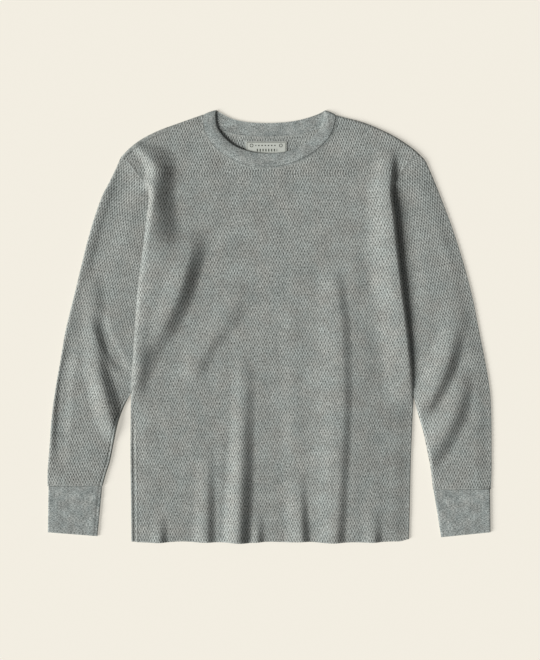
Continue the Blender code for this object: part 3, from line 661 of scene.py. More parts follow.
class Curve:
    """A smooth curve through a table's rows, with no overshoot between them."""

    def __init__(self, rows: Sequence[NamedTuple]) -> None:
        """Keep the table.

        Args:
            rows: The rows, in rising order of their first column.
        """
        self.columns = rows[0]._fields
        self.table = np.array(rows, dtype=float)

    def at(self, where: Array, column: str) -> Array:
        """Read a column.

        Args:
            where: Places along the first column.
            column: The name of the column.

        Returns:
            The column's values there.
        """
        xs = self.table[:, 0]
        ys = self.table[:, self.columns.index(column)]
        slopes = np.diff(ys) / np.diff(xs)
        before, after = slopes[:-1], slopes[1:]
        same_way = before * after > 0.0
        middle = np.where(same_way, 2 * before * after / np.where(same_way, before + after, 1.0), 0.0)
        tangents = np.concatenate([slopes[:1], middle, slopes[-1:]])
        where = np.clip(where, xs[0], xs[-1])
        index = np.clip(np.searchsorted(xs, where) - 1, 0, len(xs) - 2)
        span = xs[index + 1] - xs[index]
        t = (where - xs[index]) / span
        return (
            ys[index] * (1 + 2 * t) * (1 - t) ** 2
            + tangents[index] * span * t * (1 - t) ** 2
            + ys[index + 1] * t * t * (3 - 2 * t)
            + tangents[index + 1] * span * t * t * (t - 1)
        )


def rows_between(rows: Sequence[NamedTuple], places: Array) -> Array:
    """Read a smooth curve through a table's rows at row numbers with fractions.

    Args:
        rows: The table.
        places: Row numbers.

    Returns:
        One row of values for each place.
    """
    values = np.array(rows, dtype=float)
    last = len(values) - 1
    index = np.clip(places.astype(int), 0, last - 1)
    t = (places - index)[:, None]
    a, b, c, d = (values[np.clip(index + step, 0, last)] for step in (-1, 0, 1, 2))
    return 0.5 * (2 * b + (c - a) * t + (2 * a - 5 * b + 4 * c - d) * t ** 2
                  + (3 * b - a - 3 * c + d) * t ** 3)


def fold_height(folds: Folds, x: Array, y: Array) -> Array:
    """Add up what a set of folds raises the cloth by.

    Args:
        folds: The folds, by name.
        x: Places across.
        y: Places along.

    Returns:
        The height at each place.
    """
    total = np.zeros_like(x)
    for crest in folds.values():
        curve = Curve(crest)
        on = (y >= crest[0].y) & (y <= crest[-1].y)
        if not on.any():
            continue
        px, py = x[on], y[on]
        slope = lean(lambda at: curve.at(at, "x"), py)
        across = (px - curve.at(py, "x")) / np.hypot(1.0, slope)
        width = np.where(across > 0.0, curve.at(py, "right"), curve.at(py, "left"))
        total[on] += curve.at(py, "height") * swell(across / width)
    return total


@dataclass
class Skin:
    """A patch of cloth as a grid of places on its outer face."""

    points: Array            # rows x columns x 3
    outs: Array              # the way out of the cloth at each place
    grain: Array             # rows x columns x 2: metres across and along the wales
    relief: Array            # rows x columns: how much of the waffle's depth stands there
    inner: Array | None = None

    def inner_face(self, wall: float) -> Array:
        """The places on the other side of the cloth."""
        return self.points - self.outs * wall if self.inner is None else self.inner


@dataclass(frozen=True)
class Waffle:
    """The knit's waffle: short pockets side by side, each row set half a cell over."""

    cell_width: float = 0.00433
    cell_height: float = 0.0090
    depth: float = 0.0012
    wander: float = 0.00035      # across; twice this along

    def pitch(self) -> float:
        """Between a mesh's columns, four to a pocket's width."""
        return self.cell_width / 4

    def pocket(self, grain: Array) -> Array:
        """How deep in a pocket each place is.

        Args:
            grain: Metres across and along the wales.

        Returns:
            0 on the ribs between the pockets, 1 at the bottom of one.
        """
        across = np.cos(2 * np.pi * grain[..., 0] / self.cell_width)
        along = np.cos(2 * np.pi * grain[..., 1] / self.cell_height)
        return 0.5 + 0.5 * across * along

    def strayed(self, grain: Array) -> Array:
        """The grain with the slow unevenness of knitting in it.

        Args:
            grain: Metres across and along the wales.

        Returns:
            The same, moved a little.
        """
        u, v = grain[..., 0], grain[..., 1]
        sway, lift = waves(KNIT_SWAY, u, v), waves(KNIT_LIFT, u, v)
        return np.stack([u + self.wander * sway, v + 2 * self.wander * lift], axis=-1)

    def outer_face(self, skin: Skin) -> Array:
        """The patch's outer face with its pockets pressed in."""
        sunk = self.depth * self.pocket(skin.grain) * skin.relief
        return skin.points - skin.outs * sunk[..., None]


WAFFLE = Waffle()
GRAIN = Curve(WALES)
HEM_SWAY = HemSway()


# ------------------------------------------------------------------ meshes


def lay_grid(mesh: BMesh, outer: Array, inner: Array, grain: Array, relief: Array) -> None:
    """Lay a grid of faces over rows of places, and drop the faces that come to nothing.

    Args:
        mesh: The mesh that takes the grid.
        outer: Rows x columns x 3, the places that show.
        inner: The same for the other side of the cloth.
        grain: Rows x columns x 2, the knit's own coordinates.
        relief: Rows x columns, how much of the waffle stands.
    """
    rows, columns = outer.shape[:2]
    made = bmesh.ops.create_grid(mesh, x_segments=columns - 1, y_segments=rows - 1, size=1.0)
    inner_layer = mesh.verts.layers.float_vector["inner_face"]
    grain_layer = mesh.verts.layers.float_vector["grain"]
    outer_list = outer.tolist()
    inner_list = inner.tolist()
    relief_layer = mesh.verts.layers.float["relief"]
    grain_list = grain.tolist()
    relief_list = relief.tolist()
    for vert in made["verts"]:
        column = round((vert.co.x + 1.0) / 2.0 * (columns - 1))
        row = round((vert.co.y + 1.0) / 2.0 * (rows - 1))
        vert.co = outer_list[row][column]
        vert[inner_layer] = inner_list[row][column]
        vert[grain_layer] = (*grain_list[row][column], float(column))
        vert[relief_layer] = relief_list[row][column]
    bmesh.ops.remove_doubles(mesh, verts=made["verts"], dist=MERGE)
    loose = [vert for vert in mesh.verts if not vert.link_faces]
    bmesh.ops.delete(mesh, geom=loose, context="VERTS")


def new_mesh() -> BMesh:
    """Make an empty mesh.

    Returns:
        The mesh, with room for the cloth's inner face and grain at each place.
    """
    mesh = bmesh.new()
    mesh.verts.layers.float_vector.new("inner_face")
    mesh.verts.layers.float_vector.new("grain")
    mesh.verts.layers.float.new("relief")
    return mesh


def show(name: str, data: ID) -> Object:
    """Put an object with this mesh, light or camera at the origin.

    Args:
        name: The object's name.
        data: What it holds.

    Returns:
        The new object.
    """
    made = bpy.data.objects.new(name, data)
    bpy.context.collection.objects.link(made)
    return made


def as_object(mesh: BMesh, name: str, material: Material) -> Object:
    """Make an object of a finished mesh.

    Args:
        mesh: The mesh, which is freed.
        name: The object's name.
        material: Its finish.

    Returns:
        The new object, at the origin.
    """
    data = bpy.data.meshes.new(name)
    mesh.to_mesh(data)
    mesh.free()
    data.shade_smooth()
    data.set_sharp_from_angle(angle=CUT_EDGE_ANGLE)
    data.materials.append(material)
    return show(name, data)


def walled(name: str, skin: Skin, wall: float, material: Material,
           waffle: Waffle | None = None, keep_each: int = 1) -> Object:
    """Make a wall of cloth from a patch: its outer face pushed through to its inner face.

    Args:
        name: The object's name.
        skin: The patch.
        wall: The cloth's thickness.
        material: Its finish.
        waffle: The waffle that is pressed into the outer face, if it has one.
        keep_each: Of the inner face's columns, one in this many is kept.

    Returns:
        A closed shell.
    """
    mesh = new_mesh()
    outer = waffle.outer_face(skin) if waffle else skin.points
    lay_grid(mesh, outer, skin.inner_face(wall), skin.grain, skin.relief)
    layer = mesh.verts.layers.float_vector["inner_face"]
    column_layer = mesh.verts.layers.float_vector["grain"]
    grown = bmesh.ops.extrude_face_region(mesh, geom=mesh.faces[:])
    inner_faces = set()
    for item in grown["geom"]:
        if isinstance(item, BMVert):
            item.co = item[layer]
        elif isinstance(item, BMFace):
            inner_faces.add(item)
    if keep_each > 1:
        spare = [edge for edge in mesh.edges
                 if edge.verts[0][column_layer].z == edge.verts[1][column_layer].z
                 and edge.verts[0][column_layer].z % keep_each
                 and all(face in inner_faces for face in edge.link_faces)]
        bmesh.ops.dissolve_edges(mesh, edges=spare, use_verts=True)
    bmesh.ops.recalc_face_normals(mesh, faces=mesh.faces[:])
    return as_object(mesh, name, material)


# ------------------------------------------------------------------ how the top lies


@dataclass
class LaidBody:
    """The surfaces of the front and the back as the top lies, and the line where they meet."""

    front_top: float = 0.0062
    side_rim: float = 0.0030
    shoulder_roll: float = 0.0040
    side_roll: float = 0.0060
    split_blend: float = 0.020
    neck_centre: tuple[float, float] = (0.0010, 0.3490)
    neck_radii: tuple[float, float] = (0.0990, 0.0820)
    neck_rise: dict[Side, float] = field(default_factory=lambda: {Side.LEFT: -0.0004, Side.RIGHT: -0.0008})
    neck_rise_middle: float = -0.0010
    neck_rise_fade: float = 0.42
    seam_in: float = 0.0065      # from the left shoulder's fold to its seam
    seam_half: float = 0.0020
    seam_deep: float = 0.0014
    seam_ends: float = -0.1450   # from here to the neck it lies on the fold
    seam_end_fade: float = 0.025
    edges: dict[Side, Curve] = field(
        default_factory=lambda: {Side.LEFT: Curve(LEFT_EDGE), Side.RIGHT: Curve(RIGHT_EDGE)})
    hidden: dict[Side, Curve] = field(
        default_factory=lambda: {Side.LEFT: Curve(LEFT_HIDDEN), Side.RIGHT: Curve(RIGHT_HIDDEN)})
    shoulders: dict[Side, Curve] = field(
        default_factory=lambda: {Side.LEFT: Curve(LEFT_SHOULDER), Side.RIGHT: Curve(RIGHT_SHOULDER)})
    splits: dict[Side, float] = field(
        default_factory=lambda: {Side.LEFT: LEFT_HIDDEN[0].y, Side.RIGHT: RIGHT_HIDDEN[0].y})

    def edge(self, y: Array, side: Side, column: str = "x") -> Array:
        """A column of the front's side edge at heights up the plan."""
        return self.edges[side].at(y, column)

    def either(self, x: Array, of: Callable[[Side], Array | float]) -> Array:
        """A value of whichever side each place is on."""
        return np.where(x < 0.0, of(Side.LEFT), of(Side.RIGHT))

    def by_side(self, x: Array, y: Array, column: str) -> Array:
        """A column of whichever side edge each place is nearer to."""
        return self.either(x, lambda side: self.edge(y, side, column))

    def back_edge(self, y: Array, side: Side) -> Array:
        """The back's side edge, further in than the front's where the sleeve lies under it."""
        return self.edge(y, side) - side.value * self.hidden[side].at(y, "inset")

    def shoulder_line(self, x: Array) -> Array:
        """Height up the plan of the shoulder's fold."""
        return self.either(x, lambda side: self.shoulders[side].at(x, "y"))

    def shoulder_lean(self, x: Array) -> Array:
        """The slope of the shoulder's fold across the plan."""
        return lean(self.shoulder_line, x)

    def seam_along(self, x: Array) -> Array:
        """1 where the left shoulder's seam lies on the front, 0 where it doesn't."""
        return smooth_step((self.seam_ends - x) / self.seam_end_fade)

    def seam_y(self, x: Array) -> Array:
        """Height up the plan of the left shoulder's seam."""
        return self.shoulder_line(x) - self.seam_in * np.hypot(1.0, self.shoulder_lean(x))

    def shoulder_seam(self, x: Array, y: Array) -> Array:
        """How deep the left shoulder's seam draws the cloth in."""
        off = (y - self.seam_y(x)) / np.hypot(1.0, self.shoulder_lean(x))
        return self.seam_deep * swell(off / self.seam_half) * self.seam_along(x)

    def over_shoulder(self, x: Array, y: Array) -> tuple[Array, Array]:
        """How far the cloth has come up from the shoulder's fold.

        Args:
            x: Places across.
            y: Places along.

        Returns:
            0 at the fold and 1 past its roll, and the way out over the fold.
        """
        slope = self.shoulder_lean(x)
        out = unit(np.stack([-slope, np.ones_like(x), np.zeros_like(x)], axis=-1))
        return turn((self.shoulder_line(x) - y) * out[..., 1], self.shoulder_roll), out

    def rise(self, x: Array, y: Array) -> Array:
        """How much higher than the chest the cloth round the neck lies.

        Args:
            x: Places across.
            y: Places along.

        Returns:
            The rise at each place, which dies out away from the neck.
        """
        across = (x - self.neck_centre[0]) / self.neck_radii[0]
        along = (y - self.neck_centre[1]) / self.neck_radii[1]
        out = np.maximum(np.hypot(across, along) - 1.0, 0.0) / self.neck_rise_fade
        side = np.where(across > 0.0, self.neck_rise[Side.RIGHT], self.neck_rise[Side.LEFT])
        rise = mix(self.neck_rise_middle, side, np.minimum(across * across, 1.0))
        return rise * np.exp(-out * out)

    def level(self, x: Array, y: Array) -> Array:
        """How high the front lies, away from its edges."""
        folds = fold_height(FRONT_FOLDS, x, y) + fold_height(FRONT_EDGE_FOLDS, x, y)
        return self.front_top + self.rise(x, y) + folds - self.shoulder_seam(x, y)

    def rim_height(self, x: Array, y: Array) -> Array:
        """How high the front's side edge is: down at its rim, but level where it is sewn flat."""
        return mix(self.level(x, y), self.by_side(x, y, "rim"), self.by_side(x, y, "turned"))

    def front(self, x: Array, y: Array) -> tuple[Array, Array]:
        """The front's outer face.

        Args:
            x: Places across.
            y: Places along.

        Returns:
            The places in space, and the way out of the cloth at each.
        """
        over_side = turn(np.abs(self.by_side(x, y, "x")) - np.abs(x), self.by_side(x, y, "roll"))
        turned = self.by_side(x, y, "turned")
        over_shoulder, shoulder_out = self.over_shoulder(x, y)
        level = self.level(x, y)
        level = mix(mix(level, self.by_side(x, y, "rim"), turned), level, over_side)
        height = mix(self.side_rim, level, over_shoulder)
        outs = shoulder_out * np.sqrt(1.0 - over_shoulder ** 2)[..., None]
        outs[..., 0] += np.sign(x) * np.sqrt(1.0 - over_side ** 2) * turned
        outs[..., 2] += np.maximum(over_side, 1.0 - turned) * over_shoulder
        return np.stack([x, y, height], axis=-1), unit(outs)

    def back(self, x: Array, y: Array) -> tuple[Array, Array]:
        """The back's outer face, which rests on the surface and turns up at its free edges.

        Args:
            x: Places across.
            y: Places along.

        Returns:
            The places in space, and the way out of the cloth at each.
        """
        free = np.clip((self.either(x, self.splits.get) - y) / self.split_blend, 0.0, 1.0)
        edge = self.either(x, lambda side: self.back_edge(y, side))
        over_side = mix(1.0, turn(np.abs(edge) - np.abs(x), self.side_roll), free)
        over_shoulder, shoulder_out = self.over_shoulder(x, y)
        height = (self.side_rim - GAP) * (1.0 - over_side * over_shoulder)
        outs = shoulder_out * np.sqrt(1.0 - over_shoulder ** 2)[..., None]
        outs[..., 0] += np.sign(x) * np.sqrt(1.0 - over_side ** 2)
        outs[..., 2] -= over_side * over_shoulder
        return np.stack([x, y, height], axis=-1), unit(outs)


def neck_line(band: Sequence[BandRow], x: Array) -> Array:
    """How far up the plan a panel reaches at the neck seam.

    Args:
        band: The neckband's rows, from left to right.
        x: Places across, between the seam's two ends.

    Returns:
        The seam's place along.
    """
    seam = rows_between(band, np.linspace(0.0, len(band) - 1.0, NECK_LINE_STEPS))[:, 2:4]
    return np.interp(x, np.maximum.accumulate(seam[:, 0]), seam[:, 1])


# ------------------------------------------------------------------ pieces


@dataclass
class Panel:
    """The front or the back: knit cut to the top's outline, its wales up and down."""

    lay: LaidBody
    band: Sequence[BandRow]
    hem: float
    wall: float = 0.0018
    reach: float = 0.248         # furthest wale from the middle

    def top_line(self, x: Array) -> Array:
        """The shoulder's fold, and between the neck's corners the neck seam."""
        inside = (x > self.band[0].seam_x) & (x < self.band[-1].seam_x)
        return np.where(inside, neck_line(self.band, x), self.lay.shoulder_line(x))

    def cut(self, across: Array, along: Array, edge: Callable[[Array, Side], Array]) -> tuple[Array, Array]:
        """Bring a lattice of wales and rows to the panel's outline.

        Args:
            across: Places of the wales, measured at their widest.
            along: Places of the rows.
            edge: The side edge at a place along, for a side.

        Returns:
            x and y of each crossing; those past the outline, or very near it, lie on it.
        """
        u, y = np.meshgrid(across, along)
        x = u * GRAIN.at(y, "spread")
        near_x = EDGE_REACH * np.gradient(across)[None, :]
        near_y = EDGE_REACH * np.gradient(along)[:, None]
        line = self.top_line(x)
        y = np.where(y > line - near_y, line, y)
        left, right = edge(y, Side.LEFT), edge(y, Side.RIGHT)
        x = np.where(x < left + near_x, left, x)
        x = np.where(x > right - near_x, right, x)
        return x, np.minimum(y, self.top_line(x))

    def room(self, x: Array, y: Array, edge: Callable[[Array, Side], Array]) -> Array:
        """How far each place is from the panel's seams.

        Args:
            x: Places across.
            y: Places along.
            edge: The side edge at a place along, for a side.

        Returns:
            The distance to the nearest seam.
        """
        sides = np.minimum(x - edge(y, Side.LEFT), edge(y, Side.RIGHT) - x)
        return np.minimum(sides, (self.top_line(x) - y) / np.hypot(1.0, lean(self.top_line, x)))

    def grain(self, x: Array, y: Array) -> Array:
        """The knit's own coordinates, which spread with its wales."""
        return WAFFLE.strayed(np.stack([x / GRAIN.at(y, "spread"), y], axis=-1))


@dataclass
class Front(Panel):
    """The front, its sides raised over the tops of the sleeves."""

    hem_roll: float = 0.0014
    hem_rows: tuple[float, ...] = (0.0, 0.3, 1.0)  # of that roll
    hem_drop: float = 0.0008     # of the cut edge's corner, rounded over
    fine_from: float = 0.2500    # from here up, over the shoulders, rows lie closer together
    fine_row: float = 0.0018
    highest_x: float = 0.09
    allowance_blend: float = 0.002  # over which the waffle flattens above the shoulder's seam
    allowance_start: float = 0.8    # share of that blend that is past at the seam
    allowance_flat: float = 0.85    # how flat it is there
    inner_keeps: int = 8         # the inner face, out of sight, keeps one wale in this many

    def columns(self) -> Array:
        """Places of the grid's wales."""
        count = math.ceil(self.reach / WAFFLE.pitch())
        return np.arange(-count, count + 1) * WAFFLE.pitch()

    def rows(self) -> Array:
        """Places of the grid's rows.

        Returns:
            Rising places along, two rows to a pocket, closer at the hem and over the shoulders.
        """
        pitch = WAFFLE.cell_height / 2
        low = self.hem + np.array(self.hem_rows) * self.hem_roll
        first, last = math.ceil((self.hem + 2 * self.hem_roll) / pitch), math.floor(self.fine_from / pitch)
        top = self.lay.shoulder_line(np.array([self.highest_x]))[0]
        high = np.arange(self.fine_from, top + self.fine_row, self.fine_row)
        return np.concatenate([low, np.arange(first, last) * pitch, high])

    def skin(self) -> Skin:
        """The front's outer face as a lattice that follows the knit.

        Returns:
            The patch, its waffle flat beside the seams.
        """
        x, y = self.cut(self.columns(), self.rows(), self.lay.edge)
        points, outs = self.lay.front(x, y)
        points[..., 2] -= self.hem_drop * (1.0 - turn(y - self.hem, self.hem_roll))
        points[..., 1] += HEM_SWAY.at(x, y - self.hem)
        relief = smooth_step(self.room(x, y, self.lay.edge) / SEAM_FADE)
        past_seam = (y - self.lay.seam_y(x)) / self.allowance_blend + self.allowance_start
        allowance = smooth_step(past_seam) * self.lay.seam_along(x)
        return Skin(points, outs, self.grain(x, y), relief * (1.0 - self.allowance_flat * allowance))

    def build(self, material: Material) -> Object:
        """Make the front."""
        return walled("front_panel", self.skin(), self.wall, material, WAFFLE, self.inner_keeps)


@dataclass
class Back(Panel):
    """The back, flat on the surface, its inner face seen through the neck."""

    seen_x: float = 0.100        # past this and below seen_y the inner face is out of sight
    seen_y: float = 0.245
    seen_x_fade: float = 0.004
    seen_y_fade: float = 0.01
    coarse_x: float = 0.0105
    coarse_y: float = 0.0200
    side_columns: int = 3        # round each side's roll
    side_in: float = 0.02        # of those columns, from the furthest wale
    top_y: float = 0.352         # past the highest place

    def columns(self) -> Array:
        """Places of the grid's wales.

        Returns:
            Rising places across, close together where the inner face is seen.
        """
        pitch = WAFFLE.pitch()
        count = round(self.seen_x / pitch)
        fine = np.arange(-count, count + 1) * pitch
        wing_count = math.ceil((self.reach - fine[-1]) / self.coarse_x)
        wing = fine[-1] + np.arange(1, wing_count + 1) * self.coarse_x
        rolls = self.reach - roll_places(self.lay.side_roll, self.side_columns)[::-1] - self.side_in
        return np.unique(np.concatenate([-wing, -rolls, fine, rolls, wing]))

    def rows(self) -> Array:
        """Places of the grid's rows, four to a pocket where the inner face is seen."""
        high = np.arange(self.seen_y, self.top_y, WAFFLE.cell_height / 4)
        return np.concatenate([np.arange(self.hem, self.seen_y, self.coarse_y), high])

    def relief(self, x: Array, y: Array) -> Array:
        """How much of the waffle stands on the inner face.

        Args:
            x: Places across.
            y: Places along.

        Returns:
            1 where it is seen; 0 out of sight, under the label and at the seams.
        """
        seen = smooth_step((y - self.seen_y) / self.seen_y_fade)
        seen = seen * smooth_step((self.seen_x - np.abs(x)) / self.seen_x_fade)
        seen *= smooth_step(self.room(x, y, self.lay.back_edge) / SEAM_FADE)
        off_x, off_y = (np.abs(at - centre) - size / 2
                        for at, centre, size in zip((x, y), LABEL_AT, LABEL_SIZE))
        return seen * smooth_step(np.maximum(off_x, off_y) / SEAM_FADE)

    def build(self, material: Material) -> Object:
        """Make the back.

        Args:
            material: Its finish.

        Returns:
            The piece, with its waffle pressed into the inner face.
        """
        x, y = self.cut(self.columns(), self.rows(), self.lay.back_edge)
        points, outs = self.lay.back(x, y)
        points[..., 1] += HEM_SWAY.at(x, y - self.hem)
        grain, seen = self.grain(x, y), self.relief(x, y)
        thick = self.wall - WAFFLE.depth * WAFFLE.pocket(grain) * seen
        inner = points - outs * thick[..., None]
        return walled("back_panel", Skin(points, outs, grain, seen, inner), self.wall, material)


@dataclass
class TubeLines:
    """The lines across a flat tube, one for each row of its grid."""

    outer: Array             # rows x 2: the places on the outer fold
    inner: Array             # rows x 2: the places on the armhole or underarm edge
    along: Array             # rows: metres along the tube
    closed: Array            # rows: 1 where the inner edge turns down to its seam
    dip: Array               # rows: the share of its height that an end's seam takes away
    sewn: Array | None = None    # rows: 1 where the inner edge is sewn flat to other cloth
    sewn_height: Array | None = None  # rows: how high that cloth is


@dataclass
class FlatTube:
    """A flat tube of cloth: sleeve or cuff, folded along its outer edge."""

    top: float
    roll: float
    rim: float = 0.0030
    lowest: float = 0.0037       # for the upper layer, so that it lies on the lower one
    lowest_blend: float = 0.0004
    groove: float = 0.0          # depth of the underarm seam's stitched line, where it shows
    groove_in: float = 0.0042    # from the underarm edge
    groove_half: float = 0.0022
    groove_blend: float = 0.001  # over which the waffle ends at it
    sewn_slope: float = 0.024    # over which the upper layer comes to the height of other cloth
    lower_steps: int = 4
    roll_steps: int = 6

    def distances(self, width: Array, roll: Array, pitch: float) -> tuple[Array, int]:
        """Work out where the columns cross each line.

        Args:
            width: Rows x 1, the tube's width.
            roll: Rows x 1, the width of its rolls.
            pitch: Between wales.

        Returns:
            Distances from the outer fold, out over the lower layer and back over the upper one,
            and the number of the upper layer's first column.
        """
        rise = roll_places(1.0, self.roll_steps)
        count = math.ceil(float(width.max()) / pitch)
        upper = np.concatenate([roll * rise, roll + pitch * np.arange(1, count + 1)[None, :]], axis=1)
        upper = np.where(upper > width - EDGE_REACH * pitch, width, upper)
        shares = np.arange(1, self.lower_steps)[::-1] / self.lower_steps
        lower = np.concatenate([width - roll * rise, mix(roll, width - roll, shares[None, :]),
                                (roll * rise)[:, ::-1]], axis=1)
        return np.concatenate([lower, upper[:, 1:]], axis=1), lower.shape[1]

    def upper_height(self, lines: TubeLines, x: Array, y: Array, from_inner: Array, folds: Folds) -> Array:
        """How high the upper layer lies, away from its edges.

        Args:
            lines: The lines across the tube.
            x: Places across the plan.
            y: Places along the plan.
            from_inner: Distances from the inner edge.
            folds: The folds on the upper layer.

        Returns:
            The height at each place.
        """
        above = (self.top + fold_height(folds, x, y) - self.lowest) / self.lowest_blend
        height = self.lowest + self.lowest_blend * np.logaddexp(0.0, above)
        height = height * (1.0 - lines.dip[:, None])
        off = np.abs(from_inner - self.groove_in) / self.groove_half
        height -= self.groove * lines.closed[:, None] * np.clip(1.0 - off, 0.0, 1.0)
        if lines.sewn is None:
            return height
        near = smooth_step(1.0 - from_inner / self.sewn_slope)
        return mix(height, lines.sewn_height[:, None], near * lines.sewn[:, None])

    def skin(self, lines: TubeLines, pitch: float, folds: Folds) -> Skin:
        """Work out the tube's outer face.

        Args:
            lines: The lines across it.
            pitch: Between wales.
            folds: The folds on its upper layer.

        Returns:
            The patch, from the lower layer's inner edge round the outer fold to the upper's.
        """
        width = np.linalg.norm(lines.inner - lines.outer, axis=1)[:, None]
        way = (lines.inner - lines.outer) / width
        closed = lines.closed[:, None]
        roll = np.minimum(self.roll, ROLL_LARGEST_SHARE * width)
        distance, first_upper = self.distances(width, roll, pitch)
        is_upper = np.broadcast_to(np.arange(distance.shape[1])[None, :] >= first_upper, distance.shape)
        plan = lines.outer[:, None, :] + way[:, None, :] * distance[..., None]
        over_outer = turn(distance, roll)
        over_inner = mix(1.0, turn(width - distance, roll), closed)
        over = over_outer * over_inner
        upper = self.upper_height(lines, plan[..., 0], plan[..., 1], width - distance, folds)
        rim = self.rim + np.where(is_upper, 0.5, -0.5) * GAP * (1.0 - over_inner)
        height = mix(rim, np.where(is_upper, upper, 0.0), over)
        side = np.sqrt(1.0 - over_inner ** 2) - np.sqrt(1.0 - over_outer ** 2)
        outs = np.concatenate([way[:, None, :] * side[..., None],
                               (np.where(is_upper, 1.0, -1.0) * over)[..., None]], axis=-1)
        points = np.concatenate([plan, height[..., None]], axis=-1)
        signed = np.where(is_upper, distance, -distance)
        grain = np.stack([signed, np.broadcast_to(lines.along[:, None], signed.shape)], axis=-1)
        relief = np.where(is_upper | (distance < roll), 1.0, 0.0) * mix(FOLD_RELIEF, 1.0, over_outer)
        relief *= mix(smooth_step((width - distance) / SEAM_FADE), 1.0, closed)
        if self.groove:
            past = (self.groove_in - width + distance) / self.groove_blend + 0.5
            relief *= np.where(is_upper, 1.0 - smooth_step(past) * closed, 1.0)
        return Skin(points, unit(outs), grain, relief)


@dataclass
class Sleeve:
    """A sleeve: one piece of knit folded along its outer edge, open at the armhole and the cuff."""

    name: str
    side: Side
    lay: LaidBody
    cap: Sequence[SleeveRow]
    forearm: Sequence[SleeveRow]
    folds: Folds
    wall: float = 0.0018
    tube: FlatTube = field(default_factory=lambda: FlatTube(top=0.0060, roll=0.0040))
    seam_dip: float = 0.15       # of the cloth's height, where the cuff's seam holds it down
    seam_reach: float = 0.0050
    sewn_over: float = 0.036     # above the split, until the armhole is sewn flat
    last_rows: tuple[float, ...] = (0.0030, 0.0015, 0.0)  # from the cuff's seam
    last_from: float = 0.004     # from that seam, where the even rows stop

    def lines(self, along: Array) -> TubeLines:
        """The lines across the sleeve.

        Args:
            along: Distances from the shoulder, along the outer fold.

        Returns:
            One line for each distance, sewn flat to the front at the top of the armhole.
        """
        places, distances = self.route()
        at = np.interp(along, distances, places)
        rows = rows_between([*self.cap, *self.forearm], at)
        y = rows[:, 3]
        joined = smooth_step(at - (len(self.cap) - 1.0))
        inner_x = np.where(joined > 0.0, self.underarm(y), self.armhole(y))
        dip = self.seam_dip * (1.0 - turn(distances[-1] - along, self.seam_reach))
        split = self.lay.hidden[self.side].table[-1, 0]
        return TubeLines(rows[:, :2], np.stack([inner_x, y], axis=-1), along, joined, dip,
                         smooth_step((y - split) / self.sewn_over), self.lay.rim_height(inner_x, y))

    def route(self) -> tuple[Array, Array]:
        """Walk down the outer fold.

        Returns:
            Row numbers with fractions, and how far down the fold each is.
        """
        table_rows = [*self.cap, *self.forearm]
        places = np.linspace(0.0, len(table_rows) - 1.0, LENGTH_STEPS)
        return places, walked(rows_between(table_rows, places)[:, :2])

    def armhole(self, y: Array) -> Array:
        """The sleeve's edge beside the back, under the front."""
        return self.lay.back_edge(y, self.side) + self.side.value * SLANT_GAP

    def underarm(self, y: Array) -> Array:
        """The sleeve's free inner edge below the armhole.

        Args:
            y: Places along the plan.

        Returns:
            The edge's place across at each.
        """
        last = self.cap[-1].inner_y
        rows = [UnderarmRow(last, float(self.armhole(np.array([last]))[0])),
                *[UnderarmRow(row.inner_y, row.inner_x) for row in self.forearm]]
        return Curve(rows[::-1]).at(y, "x")

    def build(self, material: Material) -> Object:
        """Make the sleeve.

        Args:
            material: Its finish.

        Returns:
            The piece.
        """
        length = float(self.route()[1][-1])
        even = np.arange(0.0, length - self.last_from, WAFFLE.cell_height / 4)
        along = np.concatenate([even, length - np.array(self.last_rows)])
        skin = self.tube.skin(self.lines(along), WAFFLE.pitch(), self.folds)
        skin.relief *= smooth_step((length - along) / SEAM_FADE)[:, None]
        skin.grain = WAFFLE.strayed(skin.grain)
        return walled(self.name, skin, self.wall, material, WAFFLE)


@dataclass
class Cuff:
    """A cuff: a flat tube of plain knit on the end of its sleeve."""

    name: str
    start: SleeveRow
    end: CuffEnd
    narrower: float = 0.0008     # than the sleeve's end, at the underarm
    drawn_in: float = 0.0016     # the same at the outer fold
    wall: float = 0.0022
    pitch: float = 0.0020
    first_rows: tuple[float, ...] = (0.0, 0.4)        # of that pitch, from the seam
    last_rows: tuple[float, ...] = (1.0, 0.5, 0.2, 0.0)  # the same, from the open end
    tube: FlatTube = field(default_factory=lambda: FlatTube(top=0.0046, roll=0.0026))
    seam_dip: float = 0.09
    seam_reach: float = 0.0040
    end_dip: float = 0.14
    end_reach: float = 0.0022

    def seam(self) -> tuple[Array, Array]:
        """Where the cuff meets its sleeve.

        Returns:
            The places on its outer fold and on its underarm edge.
        """
        outer, inner = np.array(self.start[:2]), np.array(self.start[2:])
        across = unit(inner - outer)
        down = np.array([-across[1], across[0]])
        down = down if down[1] < 0.0 else -down
        return outer + across * self.drawn_in + down * GAP, inner - across * self.narrower + down * GAP

    def lines(self) -> TubeLines:
        """The lines across the cuff.

        Returns:
            Lines a pitch apart, closer together at both ends.
        """
        outer, inner = self.seam()
        end_outer, end_inner = np.array(self.end[:2]), np.array(self.end[2:])
        length = float(np.linalg.norm(end_outer - outer))
        count = length / self.pitch
        shares = np.concatenate([self.first_rows, np.arange(1.0, count - 1.0),
                                 count - np.array(self.last_rows)]) * self.pitch / length
        along = shares * length
        dip = self.seam_dip * (1.0 - turn(along, self.seam_reach))
        dip += self.end_dip * (1.0 - turn(length - along, self.end_reach))
        return TubeLines(mix(outer, end_outer, shares[:, None]), mix(inner, end_inner, shares[:, None]),
                         along, np.ones_like(along), dip)

    def build(self, material: Material) -> Object:
        """Make the cuff."""
        return walled(self.name, self.tube.skin(self.lines(), self.pitch, {}), self.wall, material)


